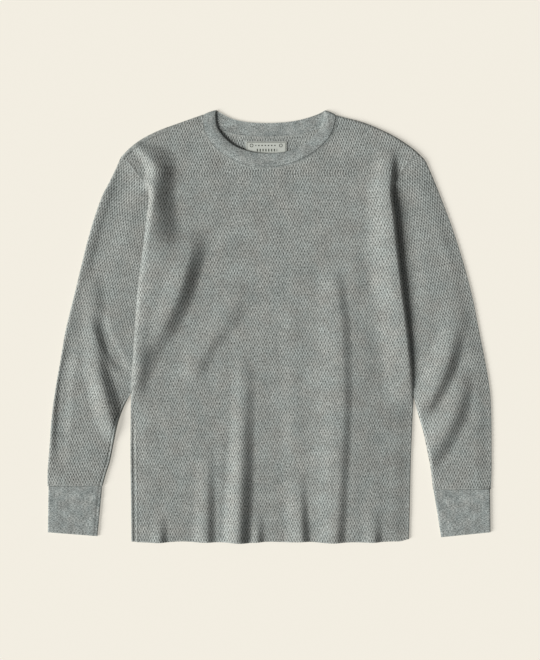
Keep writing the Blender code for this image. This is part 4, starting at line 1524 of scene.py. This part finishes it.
@dataclass
class Neckband:
    """The neckband: a ring of plain knit laid double, high in front and low behind."""

    lay: LaidBody
    wall: float = 0.0022
    steps: int = 12              # round the band, for each row of its tables
    crown: float = 0.0006
    edge_round: float = 0.0007
    groove: float = 0.0013
    groove_left: float = 0.2     # of that depth, at the left, where it is pressed flatter
    groove_fade: float = 0.05    # across the middle, from that to the whole depth
    groove_at: float = 0.100     # of its width, from the seam
    groove_half: float = 0.040
    widths: tuple[float, ...] = (0.0, 0.02, 0.04, 0.055, 0.075, 0.10, 0.125, 0.145, 0.165, 0.22, 0.35,
                                 0.5, 0.7, 0.86, 0.95, 1.0)

    def half(self, band: Sequence[BandRow], surface: Callable[[Array, Array], tuple[Array, Array]],
             crown: float, groove: float) -> Skin:
        """One half of the ring on the surface that it follows.

        Args:
            band: Its rows.
            surface: The front's or the back's outer face.
            crown: How much it plumps up along its middle.
            groove: How deep the row of stitches beside its seam draws it in.

        Returns:
            Its outer face.
        """
        places = np.linspace(0.0, len(band) - 1.0, (len(band) - 1) * self.steps + 1)
        rows = rows_between(band, places)
        share = np.array(self.widths)[:, None]
        x = mix(rows[None, :, 2], rows[None, :, 0], share)
        y = mix(rows[None, :, 3], rows[None, :, 1], share)
        points, outs = surface(x, y)
        plump = crown * np.sin(np.pi * share) - self.edge_round * (np.abs(2 * share - 1.0)) ** 6
        line = np.clip(1.0 - np.abs(share - self.groove_at) / self.groove_half, 0.0, 1.0)
        plump = plump - groove * line * mix(self.groove_left, 1.0, smooth_step(x / self.groove_fade + 0.5))
        points = points + outs * (plump * np.ones_like(x))[..., None]
        width = np.linalg.norm(rows[:, 2:4] - rows[:, 0:2], axis=1)
        along = np.broadcast_to(walked(rows[:, :2])[None, :], x.shape)
        grain = np.stack([share * width[None, :], along], axis=-1)
        return Skin(points, outs, grain, np.zeros_like(x))

    def build(self, material: Material) -> Object:
        """Make the neckband.

        Args:
            material: Its finish.

        Returns:
            The piece, its two halves joined at the shoulders.
        """
        front = self.half(FRONT_BAND, self.lay.front, self.crown, self.groove)
        back = self.half(BACK_BAND, self.lay.back, 0.0, 0.0)
        back.grain[..., 1] += front.grain[0, -1, 1]
        joined = [np.concatenate([a, b[:, 1:-1], a[:, :1]], axis=1)
                  for a, b in ((front.points, back.points), (front.outs, back.outs),
                               (front.grain, back.grain), (front.relief, back.relief))]
        return walled("neckband_ring", Skin(*joined), self.wall, material)


@dataclass
class Label:
    """The woven label inside the back of the neck, its lower end behind the front neckband."""

    lay: LaidBody
    centre: tuple[float, float] = LABEL_AT
    size: tuple[float, float] = LABEL_SIZE
    cloth_wall: float = 0.0018
    wall: float = 0.0006
    steps: tuple[int, int] = (26, 12)
    curl: float = 0.0001

    def build(self, material: Material) -> Object:
        """Make the label.

        Args:
            material: Its finish.

        Returns:
            The piece, on the back's inner face.
        """
        s, t = np.meshgrid(*(np.linspace(0.0, 1.0, count + 1) for count in self.steps))
        x = self.centre[0] + self.size[0] * (s - 0.5)
        y = self.centre[1] + self.size[1] * (t - 0.5)
        points, outs = self.lay.back(x, y)
        lift = self.curl * np.sin(np.pi * s) * np.sin(0.5 * np.pi * (1.0 - t))
        raised = points - outs * (self.cloth_wall + GAP + self.wall + lift)[..., None]
        grain = np.stack([s * self.size[0], t * self.size[1]], axis=-1)
        return walled("neck_label", Skin(raised, -outs, grain, np.zeros_like(x)), self.wall, material)


@dataclass(frozen=True)
class StitchRow:
    """A row of stitches: where it runs over the plan, and how its stitches lie."""

    path: Array
    thickness: float = 0.00075
    lift: float = 0.0006
    pitch: float = 0.0030
    length: float = 0.0025


@dataclass
class Stitching:
    """The seams' threads that show on the front and on the neckband."""

    lay: LaidBody
    shoulder_ends: tuple[float, float] = (-0.2330, -0.1640)
    neck_inside: float = 0.100   # of the band's width, from its seam
    neck_short: float = 0.25     # of a row of the neckband's table, at either end
    neck_thickness: float = 0.0006
    smooth_steps: int = 200
    sides: int = 6               # round a stitch
    rings: int = 4               # along it

    def shoulder(self) -> StitchRow:
        """The row along the left shoulder's seam."""
        x = np.linspace(*self.shoulder_ends, self.smooth_steps)
        return StitchRow(np.stack([x, self.lay.seam_y(x)], axis=-1))

    def neck(self) -> StitchRow:
        """The row that holds the neckband's seam allowance down.

        Returns:
            The row, which lies in the band's groove.
        """
        last = len(FRONT_BAND) - 1.0 - self.neck_short
        rows = rows_between(FRONT_BAND, np.linspace(self.neck_short, last, self.smooth_steps))
        return StitchRow(mix(rows[:, 2:4], rows[:, 0:2], self.neck_inside), self.neck_thickness, lift=0.0)

    def sew(self, mesh: BMesh, row: StitchRow) -> None:
        """Lay a row's stitches along its path.

        Args:
            mesh: The mesh that takes them.
            row: The row.
        """
        distances = walked(row.path)
        middles = np.arange(0.5, distances[-1] / row.pitch - 0.5) * row.pitch
        ends = []
        for offset in (-row.length / 2, row.length / 2):
            x, y = (np.interp(middles + offset, distances, row.path[:, axis]) for axis in (0, 1))
            points, outs = self.lay.front(x, y)
            ends.append(points + outs * row.lift)
        for start, stop, out in zip(ends[0], ends[1], outs):
            along = Vector(stop - start)
            side = Vector(out).cross(along).normalized()
            turned = Matrix((along.normalized(), side, along.normalized().cross(side))).transposed().to_4x4()
            size = Matrix.Diagonal((along.length / 2, row.thickness / 2, row.thickness / 2, 1.0))
            middle = Matrix.Translation((Vector(start) + Vector(stop)) / 2)
            bmesh.ops.create_uvsphere(mesh, u_segments=self.sides, v_segments=self.rings, radius=1.0,
                                      matrix=middle @ turned @ size)

    def build(self, material: Material) -> Object:
        """Make the threads.

        Args:
            material: Their finish.

        Returns:
            One object with every stitch.
        """
        mesh = new_mesh()
        for row in (self.shoulder(), self.neck()):
            self.sew(mesh, row)
        return as_object(mesh, "seam_threads", material)


# ------------------------------------------------------------------ finishes


def add(tree: NodeTree, kind: str, links: dict | None = None, out: str | int = 0,
        **settings: object) -> NodeSocket:
    """Add a node.

    Args:
        tree: The material's nodes.
        kind: The node's type name, after "ShaderNode".
        links: For an input's name or number, the socket that feeds it or the value it holds.
        out: The name or number of the output that is wanted.
        settings: The node's own settings.

    Returns:
        That output.
    """
    node = tree.nodes.new(f"ShaderNode{kind}")
    for key, value in settings.items():
        setattr(node, key, value)
    feed(tree, node, links or {})
    return node.outputs[out]


def feed(tree: NodeTree, node: Node, links: dict) -> None:
    """Feed a node's inputs.

    Args:
        tree: The material's nodes.
        node: The node.
        links: For an input's name or number, the socket that feeds it or the value it holds.
    """
    for key, value in links.items():
        if isinstance(value, NodeSocket):
            tree.links.new(value, node.inputs[key])
        else:
            node.inputs[key].default_value = value


def new_material(name: str) -> tuple[Material, NodeTree, Node]:
    """Make a material.

    Args:
        name: Its name.

    Returns:
        The material, its nodes and its shader.
    """
    made = bpy.data.materials.new(name)
    made.use_nodes = True
    return made, made.node_tree, made.node_tree.nodes["Principled BSDF"]


@dataclass(frozen=True)
class HeatherKnit:
    """Cotton yarn spun from mixed grey fibres, knitted: matt and a little fuzzy, its colour broken into
    light and dark flecks along the yarn. Where it has a waffle, painted shade darkens the colour in the
    pockets."""

    name: str
    pale: str                    # the yarn's lighter fibres, as sRGB hex
    deep: str                    # its darker fibres
    cool: str = "fbfffe"         # tints that drift into each other over the cloth
    warm: str = "fffdfa"
    waffle: Waffle | None = None
    pocket_shade: float = 0.74   # painted shade: how much darker the colour is at the bottom of a pocket
    pocket_uneven: float = 0.20  # how much that painted shade varies from pocket to pocket
    uneven_range: tuple[float, float] = (0.25, 0.75)  # of the noise that this comes from
    pocket_rim: float = 0.3      # how deep in a pocket the painted shade starts
    fleck_mm: float = 1.9        # size of a fleck of one fibre colour across the yarn
    fleck_length: float = 1.5    # flecks are this many times longer along the wales
    fleck_width: float = 0.15    # of the noise's range, from all deep to all pale
    cloud_mm: float = 34.0       # size of the slow clouds of lighter and darker yarn
    cloud_range: tuple[float, float] = (0.3, 0.7)  # of the noise's range
    cloud_strength: float = 0.13
    cloud_apart: tuple[float, float, float] = (3.7, 1.9, 0.0)  # from the tints' clouds, in metres
    fuzz: float = 0.00025        # depth of the yarn's own bumps
    roughness: float = 0.95
    specular: float = 0.2
    sheen: float = 0.08
    sheen_roughness: float = 0.6

    def build(self) -> Material:
        """Make the material.

        Returns:
            The finish, its patterns and its painted pocket shade on the knit's own coordinates.
        """
        made, tree, shader = new_material(self.name)
        grain = add(tree, "Attribute", out="Vector", attribute_name="grain")
        apart = add(tree, "Mapping", {"Vector": grain, "Location": self.cloud_apart})
        fleck = 1000.0 / self.fleck_mm
        placed = add(tree, "Mapping", {
            "Vector": grain, "Scale": (fleck, fleck / self.fleck_length, 0.0)})
        flecks = add(tree, "TexNoise", {"Vector": placed, "Scale": 1.0, "Detail": 2.0, "Roughness": 0.6},
                     noise_dimensions="2D")
        tinted = add(tree, "VectorMath", {0: self.fibres(tree, flecks), 1: self.tint(tree, grain)},
                     operation="MULTIPLY")
        gain = self.clouds(tree, apart)
        if self.waffle:
            # painted shade: the colour is darkened in the waffle's pockets, on top of the mesh's own pockets
            shade = self.painted_pocket_shades(tree, grain, apart)
            gain = add(tree, "Math", {0: gain, 1: shade}, operation="MULTIPLY")
        coloured = add(tree, "VectorMath", {0: tinted, "Scale": gain}, operation="SCALE")
        height = add(tree, "Math", {0: flecks, 1: self.fuzz}, operation="MULTIPLY")
        bump = add(tree, "Bump", {"Height": height, "Distance": 1.0, "Strength": 1.0})
        feed(tree, shader, {
            "Base Color": coloured, "Normal": bump, "Roughness": self.roughness,
            "Specular IOR Level": self.specular, "Sheen Weight": self.sheen,
            "Sheen Roughness": self.sheen_roughness})
        return made

    def fibres(self, tree: NodeTree, flecks: NodeSocket) -> NodeSocket:
        """The yarn's own colour, fleck by fleck.

        Args:
            tree: The material's nodes.
            flecks: The noise that the flecks come from.

        Returns:
            The colour.
        """
        spread = add(tree, "MapRange", {
            "Value": flecks, "From Min": 0.5 - self.fleck_width, "From Max": 0.5 + self.fleck_width})
        return add(tree, "Mix", {"Factor": spread, "A": srgb(self.deep), "B": srgb(self.pale)},
                   out=MIXED_COLOUR, data_type="RGBA")

    def tint(self, tree: NodeTree, grain: NodeSocket) -> NodeSocket:
        """The slow drift between the cool and the warm tint.

        Args:
            tree: The material's nodes.
            grain: The knit's own coordinates.

        Returns:
            The tint, near white.
        """
        noise = add(tree, "TexNoise", {
            "Vector": grain, "Scale": 1000.0 / self.cloud_mm, "Detail": 3.0, "Roughness": 0.6},
            noise_dimensions="2D")
        drift = add(tree, "MapRange", {
            "Value": noise,
            "From Min": self.cloud_range[0], "From Max": self.cloud_range[1]})
        return add(tree, "Mix", {"Factor": drift, "A": srgb(self.cool), "B": srgb(self.warm)},
                   out=MIXED_COLOUR, data_type="RGBA")

    def clouds(self, tree: NodeTree, apart: NodeSocket) -> NodeSocket:
        """The slow clouds of lighter and darker yarn.

        Args:
            tree: The material's nodes.
            apart: The knit's own coordinates, moved away from the tints' clouds.

        Returns:
            What the colour is multiplied by, near 1.
        """
        noise = add(tree, "TexNoise", {
            "Vector": apart, "Scale": 1000.0 / self.cloud_mm, "Detail": 4.0, "Roughness": 0.7},
            noise_dimensions="2D")
        return add(tree, "MapRange", {
            "Value": noise,
            "From Min": self.cloud_range[0], "From Max": self.cloud_range[1],
            "To Min": 1.0 - self.cloud_strength, "To Max": 1.0 + self.cloud_strength})

    def painted_pocket_shades(self, tree: NodeTree, grain: NodeSocket,
                      apart: NodeSocket) -> NodeSocket:
        """The painted shade in the waffle's pockets, deeper in some than in others; the mesh has the pockets
        as well.

        Args:
            tree: The material's nodes.
            grain: The knit's own coordinates.
            apart: The same, moved.

        Returns:
            What the colour is multiplied by: 1 on the ribs, less in the pockets.
        """
        uneven = add(tree, "TexNoise", {
            "Vector": apart, "Scale": 1.0 / self.waffle.cell_width, "Detail": 0.0}, noise_dimensions="2D")
        deepest = add(tree, "MapRange", {
            "Value": uneven,
            "From Min": self.uneven_range[0], "From Max": self.uneven_range[1],
            "To Min": 1.0 - self.pocket_shade + self.pocket_uneven,
            "To Max": 1.0 - self.pocket_shade - self.pocket_uneven})
        return add(tree, "MapRange", {
            "Value": self.pocket(tree, grain), "From Min": self.pocket_rim, "From Max": 1.0,
            "To Min": 1.0, "To Max": deepest})

    def pocket(self, tree: NodeTree, grain: NodeSocket) -> NodeSocket:
        """The waffle's pockets as the mesh has them.

        Args:
            tree: The material's nodes.
            grain: The knit's own coordinates.

        Returns:
            0 on the ribs, 1 at the bottom of a pocket, 0.5 where the waffle is flat.
        """
        turns = add(tree, "VectorMath", {0: grain, 1: (
            2 * math.pi / self.waffle.cell_width, 2 * math.pi / self.waffle.cell_height, 0.0)},
            operation="MULTIPLY")
        across, along = (
            add(tree, "Math", {0: add(tree, "SeparateXYZ", {0: turns}, out=axis)}, operation="COSINE")
            for axis in ("X", "Y"))
        both = add(tree, "Math", {0: across, 1: along}, operation="MULTIPLY")
        relief = add(tree, "Attribute", out="Fac", attribute_name="relief")
        both = add(tree, "Math", {0: both, 1: relief}, operation="MULTIPLY")
        return add(tree, "Math", {0: both, 1: 0.5, 2: 0.5}, operation="MULTIPLY_ADD")


@dataclass(frozen=True)
class WovenTape:
    """Polyester label tape, woven fine and flat: smooth, with a faint gloss, and a woven-in
    pattern of a border line, two rings and rows of plain pips."""

    name: str = "woven_label_tape"
    ground: str = "c0c3ba"
    figure: str = "484c44"
    size: tuple[float, float] = LABEL_SIZE
    border: float = 0.0016       # from the edge to the border line
    line: float = 0.0004         # half of its width
    ring_at: tuple[float, float] = (0.0090, 0.0062)  # from a top corner
    ring_radius: float = 0.0024
    ring_line: float = 0.00056   # half of a ring's width
    pip_rows: tuple[tuple[float, float, float], ...] = (  # from the top, half height, pitch
        (0.0062, 0.0010, 0.0052), (0.0138, 0.0022, 0.0046))
    pip_margin: float = 0.0150   # of the pips, from the sides
    pip_edge: float = 0.4        # of the wave that the pips are cut from, over which one fades out
    thread: float = 0.0007       # from one weft thread to the next, drawn coarser than it is
    thread_depth: float = 0.00006
    roughness: float = 0.7
    specular: float = 0.35

    def build(self) -> Material:
        """Make the material.

        Returns:
            The finish, its pattern set out from the label's lower corner.
        """
        made, tree, shader = new_material(self.name)
        grain = add(tree, "Attribute", out="Vector", attribute_name="grain")
        place = add(tree, "Mapping", {"Vector": grain, "Scale": (1.0, 1.0, 0.0)})
        across, up = (add(tree, "SeparateXYZ", {0: place}, out=axis) for axis in ("X", "Y"))
        inner, outer = (self.outside(tree, across, up, margin)
                        for margin in (self.border + self.line, self.border - self.line))
        figure = add(tree, "Math", {0: inner, 1: outer}, operation="SUBTRACT")
        for ring_x in (self.ring_at[0], self.size[0] - self.ring_at[0]):
            centre = (ring_x, self.size[1] - self.ring_at[1], 0.0)
            away = add(tree, "VectorMath", {0: place, 1: centre}, out="Value", operation="DISTANCE")
            ring = self.within(tree, away, self.ring_radius, self.ring_line)
            figure = add(tree, "Math", {0: figure, 1: ring}, operation="MAXIMUM")
        for from_top, half, pitch in self.pip_rows:
            row = self.within(tree, up, self.size[1] - from_top, half)
            pips = self.pips(tree, across, row, pitch)
            figure = add(tree, "Math", {0: figure, 1: pips}, operation="MAXIMUM")
        colour = add(tree, "Mix", {"Factor": figure, "A": srgb(self.ground), "B": srgb(self.figure)},
                     out=MIXED_COLOUR, data_type="RGBA")
        weft = add(tree, "Math", {0: up, 1: 2 * math.pi / self.thread}, operation="MULTIPLY")
        ribs = add(tree, "Math", {0: weft}, operation="SINE")
        bump = add(tree, "Bump", {"Height": ribs, "Distance": self.thread_depth, "Strength": 1.0})
        feed(tree, shader, {
            "Base Color": colour, "Normal": bump, "Roughness": self.roughness,
            "Specular IOR Level": self.specular})
        return made

    def outside(self, tree: NodeTree, across: NodeSocket, up: NodeSocket,
                margin: float) -> NodeSocket:
        """1 nearer to the label's edge than a margin, else 0.

        Args:
            tree: The material's nodes.
            across: Metres from the label's left end.
            up: Metres from its lower edge.
            margin: The margin.

        Returns:
            The value.
        """
        side, end = (self.beyond(tree, value, size / 2, size / 2 - margin)
                     for value, size in zip((across, up), self.size))
        return add(tree, "Math", {0: side, 1: end}, operation="MAXIMUM")

    def pips(self, tree: NodeTree, across: NodeSocket, row: NodeSocket,
             pitch: float) -> NodeSocket:
        """A row of pips.

        Args:
            tree: The material's nodes.
            across: Metres from the label's left end.
            row: 1 at the row's height, else 0.
            pitch: From one pip to the next.

        Returns:
            1 on the pips, 0 between them.
        """
        half = self.size[0] / 2
        middle = self.within(tree, across, half, half - self.pip_margin)
        row = add(tree, "Math", {0: row, 1: middle}, operation="MULTIPLY")
        wave = add(tree, "Math", {0: across, 1: 2 * math.pi / pitch}, operation="MULTIPLY")
        pips = add(tree, "Math", {0: wave}, operation="COSINE")
        pips = add(tree, "MapRange", {"Value": pips, "From Min": 0.0, "From Max": self.pip_edge})
        return add(tree, "Math", {0: row, 1: pips}, operation="MULTIPLY")

    def beyond(self, tree: NodeTree, value: NodeSocket, centre: float,
               half: float) -> NodeSocket:
        """Tell places by how far a value is from a centre.

        Args:
            tree: The material's nodes.
            value: The value.
            centre: The centre.
            half: How far from it counts as near.

        Returns:
            1 where the value is further than that, else 0.
        """
        off = add(tree, "Math", {0: value, 1: centre}, operation="SUBTRACT")
        off = add(tree, "Math", {0: off}, operation="ABSOLUTE")
        return add(tree, "Math", {0: off, 1: half}, operation="GREATER_THAN")

    def within(self, tree: NodeTree, value: NodeSocket, centre: float,
               half: float) -> NodeSocket:
        """1 where a value is within half of the centre, else 0."""
        return add(tree, "Math", {0: 1.0, 1: self.beyond(tree, value, centre, half)}, operation="SUBTRACT")


@dataclass(frozen=True)
class SewingThread:
    """Spun polyester sewing thread: matt and uneven along its twist, coloured much darker than the knit as
    painted shade, so that the stitches draw the shaded line of the seams they lie along.
    """

    name: str = "sewing_thread"
    # painted shade: darker than the thread itself, standing in for the seam grooves' shade
    colour: str = "6e726f"
    twist_mm: float = 10 / 9     # size of its lighter and darker stretches
    shades: tuple[float, float] = (0.8, 1.15)
    roughness: float = 0.8

    def build(self) -> Material:
        """Make the material.

        Returns:
            The finish.
        """
        made, tree, shader = new_material(self.name)
        spot = add(tree, "TexCoord", out="Object")
        noise = add(tree, "TexNoise", {"Vector": spot, "Scale": 1000.0 / self.twist_mm, "Detail": 1.0})
        gain = add(tree, "MapRange", {
            "Value": noise, "To Min": self.shades[0], "To Max": self.shades[1]})
        colour = add(tree, "VectorMath", {0: srgb(self.colour)[:3], "Scale": gain}, operation="SCALE")
        feed(tree, shader, {"Base Color": colour, "Roughness": self.roughness})
        return made


@dataclass(frozen=True)
class PaleFloor:
    """A cream acrylic board, cast smooth and rubbed matt: it shows no gloss, and as it is also lit
    softly from below, shadows on it stay pale."""

    name: str = "cream_acrylic_board"
    tone: str = "f2ede1"
    glow: float = 0.5            # share of its brightness that comes through it from below
    roughness: float = 0.9
    specular: float = 0.1

    def build(self) -> Material:
        """Make the material.

        Returns:
            The finish.
        """
        made, tree, shader = new_material(self.name)
        tone = srgb(self.tone)
        feed(tree, shader, {
            "Base Color": (*(part * (1.0 - self.glow) for part in tone[:3]), 1.0),
            "Emission Color": tone, "Emission Strength": self.glow, "Roughness": self.roughness,
            "Specular IOR Level": self.specular})
        return made


# ------------------------------------------------------------------ studio


@dataclass
class Studio:
    """The pale floor, the soft light from one side, and the camera straight above."""

    floor_half: float = 12.0
    view_centre: tuple[float, float] = (0.0008, -0.0065)
    camera_height: float = 2.53
    lens_mm: float = 85.0
    sensor_mm: float = 36.0
    sun_from: tuple[float, float, float] = (-0.82, -0.27, 0.50)
    sun_strength: float = 5.3
    sun_width_degrees: float = 34.0
    sky: str = "ffffff"
    sky_strength: float = 0.16

    def build(self) -> None:
        """Make the floor, lights and camera."""
        self.floor()
        self.sun()
        self.sky_light()
        self.camera()

    def floor(self) -> Object:
        """Lay the board that the top lies on.

        Returns:
            The floor.
        """
        mesh = bmesh.new()
        bmesh.ops.create_grid(mesh, x_segments=1, y_segments=1, size=self.floor_half)
        data = bpy.data.meshes.new("floor")
        mesh.to_mesh(data)
        mesh.free()
        data.materials.append(PaleFloor().build())
        return show("floor", data)

    def sun(self) -> None:
        """Hang the wide, soft light at the left."""
        sun = bpy.data.lights.new("soft_key", "SUN")
        sun.energy = self.sun_strength
        sun.angle = math.radians(self.sun_width_degrees)
        lamp = show("soft_key", sun)
        lamp.rotation_mode = "QUATERNION"
        lamp.rotation_quaternion = Vector(self.sun_from).to_track_quat("Z", "Y")

    def sky_light(self) -> None:
        """Light the shadows a little, from all round."""
        world = bpy.data.worlds.new("studio")
        world.use_nodes = True
        background = world.node_tree.nodes["Background"]
        feed(world.node_tree, background, {"Color": srgb(self.sky), "Strength": self.sky_strength})
        bpy.context.scene.world = world

    def camera(self) -> None:
        """Set the camera straight above, with plain colours."""
        eye = bpy.data.cameras.new("camera")
        eye.lens = self.lens_mm
        eye.sensor_width = self.sensor_mm
        camera = show("camera", eye)
        camera.location = (*self.view_centre, self.camera_height)
        bpy.context.scene.camera = camera
        bpy.context.scene.view_settings.view_transform = "Standard"


# ------------------------------------------------------------------ the whole top


@dataclass
class Cut:
    """What a piece was cut to, and what it lies on."""

    flat: tuple[float, float]
    area: float
    rests_on: list[str]


def stand_in(piece: Object, node: str, cut: Cut) -> None:
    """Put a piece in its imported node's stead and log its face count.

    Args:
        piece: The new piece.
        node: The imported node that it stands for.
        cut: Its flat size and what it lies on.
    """
    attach(piece, BODY)
    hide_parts(node)
    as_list(cut.rests_on)
    LOG.info("%s: %d faces for node %s", piece.name, len(piece.data.polygons), node)


@dataclass(frozen=True)
class Half:
    """What differs between the two sleeves and their cuffs."""

    side: Side
    cap: tuple[SleeveRow, ...]
    forearm: tuple[SleeveRow, ...]
    folds: Folds
    cuff_end: CuffEnd
    area: float                  # of the sleeve's cloth
    groove: float = 0.0          # of the underarm seam, which shows at the left only


HALVES = {
    "left": Half(Side.LEFT, LEFT_SLEEVE_CAP, LEFT_FOREARM, LEFT_SLEEVE_FOLDS, LEFT_CUFF_END, 0.104, 0.0016),
    "right": Half(Side.RIGHT, RIGHT_SLEEVE_CAP, RIGHT_FOREARM, RIGHT_SLEEVE_FOLDS, RIGHT_CUFF_END, 0.111),
}


@dataclass
class ThermalTop:
    """The whole top: front, back, sleeves, cuffs, neckband and label."""

    lay: LaidBody = field(default_factory=LaidBody)
    knit: HeatherKnit = HeatherKnit("waffle_cotton_heather", "b7bab6", "858884", waffle=WAFFLE)
    rib: HeatherKnit = HeatherKnit("plain_knit_heather", "adb1ae", "656a68", fleck_mm=2.8, fleck_length=0.4,
                                   cloud_mm=16.0, cloud_strength=0.24)

    def build(self) -> None:
        """Make, finish and place every piece."""
        knit, rib = self.knit.build(), self.rib.build()
        back = Back(self.lay, tuple(reversed(BACK_BAND)), HEM_Y + BACK_HEM_SHORTER).build(knit)
        stand_in(back, "back", Cut((0.482, 0.691), 0.289, ["floor"]))
        front = Front(self.lay, FRONT_BAND, HEM_Y).build(knit)
        stand_in(front, "front", Cut((0.482, 0.693), 0.286, ["back_panel"]))
        for name, half in HALVES.items():
            self.arm(name, half, knit, rib)
        neckband = Neckband(self.lay).build(rib)
        stand_in(neckband, "neckband",
                 Cut((0.52, 0.023), 0.0110, ["front_panel", "back_panel"]))
        threads = Stitching(self.lay).build(SewingThread().build())
        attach(threads, BODY)
        LOG.info("%s: %d faces", threads.name, len(threads.data.polygons))
        label = Label(self.lay).build(WovenTape().build())
        stand_in(label, "label", Cut((0.0655, 0.026), 0.0017, ["back_panel"]))

    def arm(self, name: str, half: Half, knit: Material, rib: Material) -> None:
        """Make and place a sleeve and its cuff.

        Args:
            name: Which side they are on.
            half: Their tables.
            knit: The sleeve's finish.
            rib: The cuff's finish.
        """
        sleeve = Sleeve(f"{name}_sleeve", half.side, self.lay, half.cap, half.forearm, half.folds)
        sleeve.tube.groove = half.groove
        stand_in(sleeve.build(knit), f"sleeve_{name}",
                 Cut((0.26, 0.545), half.area, ["floor"]))
        cuff = Cuff(f"{name}_cuff", half.forearm[-1], half.cuff_end)
        cuff.tube.groove = half.groove
        stand_in(cuff.build(rib), f"cuff_{name}", Cut((0.180, 0.078), 0.0136, ["floor"]))


def main() -> None:
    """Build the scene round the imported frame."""
    logging.basicConfig(level=logging.INFO, format="%(name)s %(message)s")
    Studio().build()
    ThermalTop().build()


if __name__ == "__main__":
    main()
